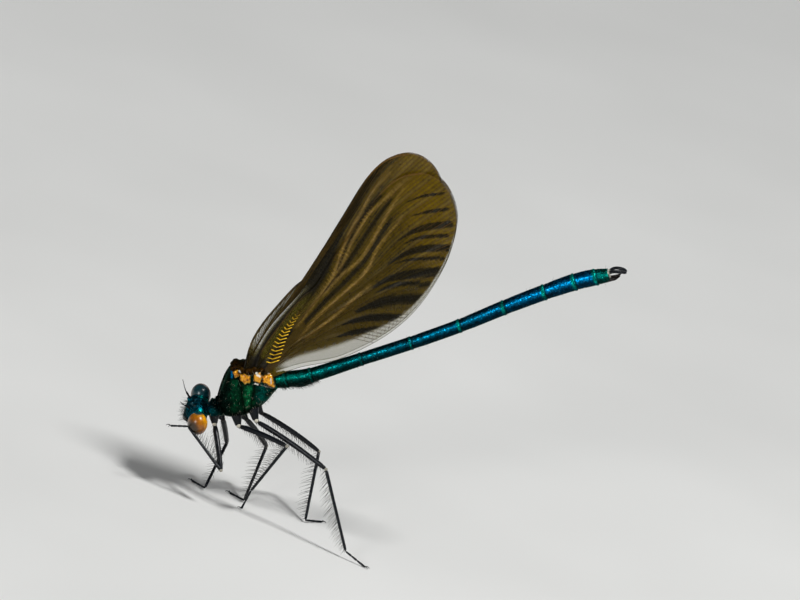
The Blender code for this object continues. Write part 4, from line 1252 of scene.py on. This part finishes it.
def wing_marks(own, flat, hind):
    """How dark, how clear and how pale the wing is, at points of its own outline and of the wings' plane; the darkness
    holds painted pleat shade and the paleness painted highlights.
    """
    along, rearward = flat.T
    tip = smoothstep(20.5, 26.0, along + 0.6 * rearward)
    dark = 0.5 - 0.26 * tip
    # Ahead of the first stripe the wing is darkest
    front_line = HIGHLIGHT_STRIPES[0][::-1] + ((27.5, -2.9),)
    far, side, _ = beside(flat, front_line)
    ahead = smoothstep(0.2, 0.75, far) * (side < 0)
    dark = np.maximum(dark, (0.97 - 0.45 * tip) * ahead)
    # Painted shade along the dark lines and bands of the pleats
    for line in SHADE_LINES:
        far, _, share = beside(flat, line)
        dark = np.maximum(dark, (0.95 - 0.35 * tip) * bell(far, 0.3, power=4) * smoothstep(0.0, 0.12, share))
    for width, *line in SHADE_BANDS:
        far, side, share = beside(flat, line)
        half = width * (0.25 + 0.75 * smoothstep(0.0, 0.6, share))
        dark = np.maximum(dark, (1 - smoothstep(0.75, 1.1, far / half)) * smoothstep(0.0, 0.1, share))
    pale = np.zeros(len(flat))
    # Painted highlights along the ridges of the pleats
    for line in HIGHLIGHT_STRIPES:
        far, _, share = beside(flat, line)
        stripe = bell(far, 0.16) * (0.35 + 0.5 * np.sin(np.pi * np.clip(share, 0.05, 1)))
        pale = np.maximum(pale, stripe * (1 - 0.5 * tip))
    dark = dark * (1 - 0.9 * pale)
    # Fine rays towards the tip
    rays = np.sin(9.0 * np.arctan2(rearward + 0.5, along - 6.0) * 9.0)
    dark = np.clip(dark + 0.05 * rays * smoothstep(17.0, 22.0, along), 0, 1)
    # Clear places: the forewing's costal strip up to the nodus, and the strip along the rear margin
    x, r = own.T
    edge = smooth_path(FOREWING_LEADING, 8)
    depth = r - np.interp(x, edge[:, 0], edge[:, 1])
    clear = (1 - smoothstep(6.5, 10.6, x)) * smoothstep(0.6, 1.6, x) * (1 - smoothstep(0.85, 1.2, depth))
    clear = clear * (0.6 if hind else 1.0)
    # Thin olive membrane from there to the ladder of crossveins
    behind = rearward - np.interp(along, *OLIVE_EDGE)
    olive = (1 - smoothstep(6.0, 9.6, x)) * smoothstep(0.2, 1.2, x) * (1 - smoothstep(-0.15, 0.2, behind))
    clear = np.maximum(clear, 0.62 * olive)
    far = beside(own, FOREWING_TRAILING)[0] / np.interp(x, *CLEAR_MARGIN)
    clear = np.maximum(clear, (1 - smoothstep(0.8, 1.15, far)) * smoothstep(0.5, 2.0, x))
    base = 1 - smoothstep(-0.6, 1.4, x)
    dark = np.maximum(dark * (1 - clear), 0.9 * base)
    return np.stack([dark, clear, pale * (1 - clear)], axis=-1)


def wing_offset(along, root_y, tip_y):
    """How far out the wing lies: at the thorax's flank at its root, close to its pair beyond."""
    return tip_y + (root_y - tip_y) * np.exp(-(np.maximum(along, -1.6) + 1.6) / 2.1)


def vein_net(rows, shares, gaps, heights):
    """Long veins, the veins between them and crossveins, as 3-D lines (along, rearward, height)."""
    lines, crosses = [], []
    starts = np.flatnonzero(shares == 0.0)
    grid = np.concatenate([rows, heights[..., None]], axis=-1)
    for k, first in enumerate(starts[:-1]):
        # More veins where the sector is wide, and never fewer further out
        levels = [1 if gap < 0.75 else 2 if gap < 1.5 else 4 if gap < 3.0 else 8 for gap in gaps[first]]
        levels = np.maximum.accumulate(levels)
        for i in range(1, 8):
            shown = np.flatnonzero(levels >= 8 // math.gcd(i, 8))
            if len(shown) > 3:
                lines.append(grid[first + i * STRIPS // 8, shown[0]:])
        step = max(1, round(0.42 * ROWS / run_along(rows[first])[-1]))
        for at in range(step, ROWS - 1, step):
            count = levels[at]
            gap = gaps[first, at] / count
            if gap < 0.07 or (gap > 0.5 and (at // step) % 2 and k != 0):
                continue
            for i in range(count):
                low = first + i * STRIPS // count
                high = first + (i + 1) * STRIPS // count
                here = grid[low, at]
                there = grid[high, max(0, at - 30):at + 31]
                crosses.append((here, there[np.linalg.norm(there - here, axis=1).argmin()]))
    return lines, np.array(crosses)


def rungs_between(first, second, count, sag):
    """Starts and ends of crossveins between two lines, bent towards the wing's root half way by the sag."""
    first = resampled(smooth_path(first, 12), count)
    second = resampled(smooth_path(second, 12), count)
    middle = (first + second) / 2 - (sag, 0.0)
    level = np.full(2 * count, 0.04)
    starts = np.concatenate([first, middle])
    ends = np.concatenate([middle, second])
    return np.column_stack([starts, level]), np.column_stack([ends, level])


def ringed(values, sides):
    """Values for the points of a tube from the values along its path."""
    values = np.asarray(values, float)
    return np.concatenate([np.repeat(values, sides, axis=0), values[:1], values[-1:]])


def wings():
    rows, sectors, shares = wing_sheet()
    gaps = sector_gaps(rows, sectors)
    heights = pleats(gaps, shares)
    lines, crosses = vein_net(rows, shares, gaps, heights)
    starts = np.flatnonzero(shares == 0.0)[1:]
    tubes = [(np.column_stack([rows[i], heights[i]]), LONG_VEIN_RADII, 5) for i in starts]
    tubes[0] = (tubes[0][0], FIRST_VEIN_RADII, 5)
    tubes += [(line, BRANCH_RADII, 4) for line in lines]
    costa = smooth_path(FOREWING_LEADING, 14)
    rim = smooth_path(FOREWING_LEADING + FOREWING_TRAILING, 10)
    subcosta = smooth_path(SUBCOSTA, 10)
    for line, radii, level in ((costa, COSTA_RADII, 0.0), (rim, RIM_RADII, 0.0), (subcosta, SUBCOSTA_RADII, -0.08)):
        tubes.append((np.column_stack([line, np.full(len(line), level)]), radii, 6))
    faces = grid_faces(len(rows), ROWS, False)
    own = rows.reshape(-1, 2)
    for pair, hind, root_y, tip_y in WING_PAIRS:
        move = as_hindwing if hind else np.array

        def marks_at(flat):
            return wing_marks(flat, move(flat), hind)

        sheet_marks = marks_at(own)
        # Painted shade: each furrow of the membrane is painted a little darker than its ridges
        painted_furrow_shade = (np.cos(8 * np.pi * shares)[:, None] * smoothstep(0.4, 1.0, gaps)).reshape(-1)
        painted_furrow_shade = 0.17 * painted_furrow_shade * smoothstep(12.0, 18.0, own[:, 0]) * (1 - sheet_marks[:, 1])
        sheet_marks[:, 0] = np.clip(sheet_marks[:, 0] + painted_furrow_shade, 0, 1)
        tube_marks = []
        for line, _, sides in tubes:
            found = marks_at(line[:, :2])
            found[:, 0] *= 1 - 0.9 * smoothstep(20.0, 25.0, line[:, 0])
            # On veins the marks are how golden, how clear a place they cross, and how dark
            tube_marks.append(ringed(found * (0, 1, 0) + found[:, :1] * (0, 0, 1), sides))
        # Crossveins on the highlight stripes are painted half golden, as part of the painted highlight
        found = marks_at(crosses[:, :, :2].mean(axis=1))
        cross_marks = np.repeat(np.stack([0.5 * found[:, 2], found[:, 1], found[:, 0]], axis=1), 2 * ROD_SIDES, axis=0)
        if hind:
            rungs = rungs_between(*LADDER, LADDER_RUNGS, LADDER_SAG)
            gold = np.tile(smoothstep(15.0, 8.0, np.arange(LADDER_RUNGS)), 2)
        else:
            rungs = rungs_between(costa[8:130], subcosta[4:40], COSTAL_RUNGS, 0.0)
            gold = np.zeros(2 * COSTAL_RUNGS)
        rung_marks = np.repeat(np.stack([gold, 0.4 * (1 - gold), 0.5 * (1 - gold)], axis=1), 2 * ROD_SIDES, axis=0)
        for side, sign in SIDES:

            def placed(line):
                out = wing_offset(line[:, 0], root_y, tip_y) + line[:, 2]
                return wing_point(move(line[:, :2]), sign * out)

            sheet = placed(np.column_stack([own, heights.reshape(-1)]))
            piece(pair + side + "_sheet", sheet, faces, WING, "wing_membrane", [pair + side], marks=sheet_marks)
            net = Shape()
            for (line, radii, sides), marks in zip(tubes, tube_marks):
                net.add(*tube(placed(line), np.linspace(*radii, len(line)), sides), marks)
            net.add(*rods(placed(crosses[:, 0]), placed(crosses[:, 1]), CROSSVEIN_RADIUS), cross_marks)
            net.add(*rods(placed(rungs[0]), placed(rungs[1]), 0.05 if hind else 0.025), rung_marks)
            points, net_faces, net_marks, _ = net.arrays()
            piece(pair + side + "_veins", points, net_faces, VEIN, "wing_membrane", marks=net_marks)


# Legs and bristles


def limb(start, end, profile, sides, squareness=2.0, steps=26, arch=np.zeros(3)):
    """A limb piece with rounded ends whose radius follows (share, radius) stops, arched a little."""
    t = np.linspace(0.0, 1.0, steps)
    to_end = np.minimum(t, 1 - t)
    path = start + t[:, None] * (end - start) + (4 * t * (1 - t))[:, None] * arch
    rounded = np.sqrt(np.clip(1 - (1 - to_end / 0.03) ** 2, 0.04, 1))
    radii = np.interp(t, *np.transpose(profile)) * np.where(to_end < 0.03, rounded, 1.0)
    return tube(path, radii, sides, squareness)


def leg_joints(name):
    trochanter, knee, ankle, toe = (np.array(p) for p in LEGS[name])
    pair, side = name.split("_")
    s, h = COXA_ROOT[pair]
    root = body((s, (-1 if side == "left" else 1) * 0.75, h))
    if name != "fore_left":
        toe = np.array([toe[0], toe[1], 0.1])
    return root, trochanter, knee, ankle, toe


def legs():
    for name in LEGS:
        root, trochanter, knee, ankle, toe = leg_joints(name)
        shape = Shape()
        outward = np.array([0.0, -0.16 if name.endswith("left") else 0.16, 0.06])
        way = unit(knee - trochanter)
        lift = 0.02 * np.linalg.norm(knee - trochanter) * np.array([0.0, 0.0, 1.0])
        shape.add(*limb(root, trochanter, COXA, 20), BLACK)
        shape.add(*limb(trochanter - 0.12 * way, trochanter + 0.32 * way, TROCHANTER, 16), BROWN)
        shape.add(*ellipsoid(trochanter + 0.05 * way + outward, np.eye(3), (0.24, 0.22, 0.24), 14, 10), PALE)
        shape.add(*limb(trochanter + 0.25 * way, knee, FEMUR, 18, 2.8, 40, lift), BLACK)
        shape.add(*ellipsoid(knee, np.eye(3), (0.19, 0.19, 0.19), 16, 10), KNEE)
        shape.add(*limb(knee, ankle, TIBIA, 14, 2.5, 40), BLACK)
        foot = [ankle] + [ankle + share * (toe - ankle) for share in TARSUS_JOINTS]
        for start, end in zip(foot, foot[1:]):
            shape.add(*limb(start, end, TARSOMERE, 12, 2.0, 18), BLACK)
        ahead = unit(toe - ankle)
        level = unit(np.array([ahead[0], ahead[1], 0.0 if name != "fore_left" else ahead[2]]))
        across = unit(np.cross(level, (0.0, 0.0, 1.0)))
        for sign in (-1, 1):
            spread = math.cos(CLAW_SPREAD) * level + sign * math.sin(CLAW_SPREAD) * across
            hook = [toe + reach * spread + (0, 0, rise) for reach, rise in CLAW]
            path = smooth_path([toe - 0.05 * ahead, *hook], 5)
            shape.add(*tube(path, np.linspace(0.06, 0.015, len(path)), 8), BLACK)
        points, faces, marks, _ = shape.arrays()
        points[:, 2] = np.maximum(points[:, 2], 0.0)
        nodes = [f"{name}_{part}" for part in ("coxa", "femur", "tibia", "tarsus")]
        piece("leg_" + name, points, faces, LEG, "leg_black", nodes, marks=marks)


def bristle_row(start, end, inward, spread, place, tilt, lengths, radius):
    """Bristles in a row along a limb piece, which lean towards its end."""
    way = unit(end - start)
    count = int(np.linalg.norm(end - start) / BRISTLE_SPACING)
    t = (np.arange(count) + 0.5 + 0.25 * random.uniform(-1, 1, count)) / count
    out = unit(inward - way * inward.dot(way))
    angle = spread + 0.12 * random.normal(size=count)
    outward = np.cos(angle)[:, None] * out + np.sin(angle)[:, None] * np.cross(way, out)
    ways = unit(math.sin(tilt) * way + math.cos(tilt) * outward + 0.04 * random.normal(size=(count, 3)))
    roots = start + t[:, None] * (end - start) + 0.08 * outward
    size = np.interp(t, (0, 0.25, 0.7, 1), lengths) * random.uniform(0.85, 1.15, count)
    spots = np.stack([place[0] + 0.3 * t, np.full(count, place[1])], axis=1)
    return hairs(roots, ways, size, radius, 0.12 * way, spots)


def bristles():
    shape = Shape()
    for number, name in enumerate(LEGS):
        _, trochanter, knee, ankle, _ = leg_joints(name)
        below = (trochanter + ankle) / 2 - knee
        for row, spread in enumerate((-BRISTLE_SPREAD, BRISTLE_SPREAD)):
            v = (number + 0.2 + 0.3 * row) / 6
            points, faces, spots = bristle_row(knee, ankle, below, spread, (0.05, v), *TIBIA_BRISTLES)
            shape.add(points, faces, places=spots)
            points, faces, spots = bristle_row(trochanter, knee, ankle - knee, spread, (0.5, v), *FEMUR_BRISTLES)
            shape.add(points, faces, places=spots)
    points, faces, _, spots = shape.arrays()
    points[:, 2] = np.maximum(points[:, 2], 0.0)
    piece("leg_bristles", points, faces, BRISTLE, "leg_black", places=spots)


def scattered(skin_object, name, slot, finish, wanted, count, longest, radius, lean):
    """Hairs on the skin where wanted() says so, leaning the way that lean gives."""
    points = vertex_values(skin_object.data, "co") / MM + BOX_CENTRE
    normals = vertex_values(skin_object.data, "normal")
    share = wanted(points, normals)
    chosen = random.choice(len(points), count, replace=False, p=share / share.sum())
    roots, out = points[chosen], normals[chosen]
    ways = unit(out + lean + 0.25 * random.normal(size=(count, 3)))
    s, y, h = in_body(roots).T
    spots = np.stack([(s + 18) / 60, 0.5 + np.arctan2(y, h + 0.3) / (2 * math.pi)], axis=1)
    size = longest * random.uniform(0.6, 1.2, count)
    points, faces, spots = hairs(roots - 0.03 * out, ways, size, radius, (0.0, 0.0, -0.1), spots)
    piece(name, points, faces, finish, slot, places=np.clip(spots, 0, 0.997))


def on_face(points, _):
    f, left, up = in_head(points).T
    return (f > 0.85) * (np.abs(left) < 1.3) * (up < 1.0) * (up > -1.4) + 1e-12


def on_thorax_sides(points, _):
    s, _, h = in_body(points).T
    return (s > -7.5) * (s < -0.2) * (h < 2.2) * 1.0 + 1e-12


def under_waist(points, normals):
    s = in_body(points)[:, 0]
    return (s > 0.3) * (s < 4.5) * (normals[:, 2] < -0.1) * 1.0 + 0.004 * (s > 0.3) + 1e-12


# Hairs on the skin: name, slot, finish, where they grow, how many, their length and radius, and how they lean
SKIN_HAIRS = (
    ("face_hairs", "head_shell", BRISTLE, on_face, 140, 0.75, 0.015, HEAD_AXES[0] * 0.6),
    ("thorax_hairs", "thorax_shell", PALE_HAIR, on_thorax_sides, 330, 0.36, 0.012, np.array([0.3, 0, -0.2])),
    ("abdomen_hairs", "abdomen_shell", BRISTLE, under_waist, 420, 0.45, 0.015, BODY_AXES[0] * 0.7),
)


# Stage


def turned(right, up, back, place):
    """A matrix that turns an object's axes to these and moves it to a place."""
    matrix = Matrix((right, up, back)).transposed().to_4x4()
    matrix.translation = place
    return matrix


def stage():
    floor_mesh = bpy.data.meshes.new("floor")
    corners = [(FLOOR_REACH * x, FLOOR_REACH * y, 0) for x, y in ((-1, -1), (1, -1), (1, 1), (-1, 1))]
    floor_mesh.from_pydata(corners, [], [(0, 1, 2, 3)])
    floor = new_object("floor", floor_mesh)
    ground = Finish("floor_pale", roughness=0.9)
    ground.set(base_color=ground.ramp(ground.noise(0.02, 2.0), *FLOOR_TONES))
    floor_mesh.materials.append(ground.material)

    world = bpy.data.worlds.new("studio")
    world.use_nodes = True
    background = world.node_tree.nodes["Background"]
    background.inputs["Color"].default_value = (*WORLD_LIGHT, 1.0)
    background.inputs["Strength"].default_value = WORLD_STRENGTH
    bpy.context.scene.world = world

    aim = (AIM - BOX_CENTRE) * MM
    for name, (way, distance, size, watts) in LIGHTS.items():
        data = bpy.data.lights.new(name, "AREA")
        data.shape = "DISK"
        data.size = size
        data.energy = watts
        way = unit(np.array(way))
        right = unit(np.cross((0.0, 0.0, 1.0), way))
        new_object(name, data).matrix_world = turned(right, np.cross(way, right), way, aim + distance * way)

    lens = bpy.data.cameras.new("camera")
    lens.lens = CAMERA_LENS
    lens.clip_start = 0.01
    camera = new_object("camera", lens)
    camera.matrix_world = turned(IMAGE_RIGHT, IMAGE_UP, TOWARDS_CAMERA, aim + CAMERA_DISTANCE * MM * TOWARDS_CAMERA)
    scene = bpy.context.scene
    scene.camera = camera
    scene.view_settings.view_transform = "Standard"
    scene.cycles.transparent_max_bounces = 24


skin_object = skin()
eyes()
antennae()
claspers()
wings()
legs()
bristles()
for row in SKIN_HAIRS:
    scattered(skin_object, *row)
stage()
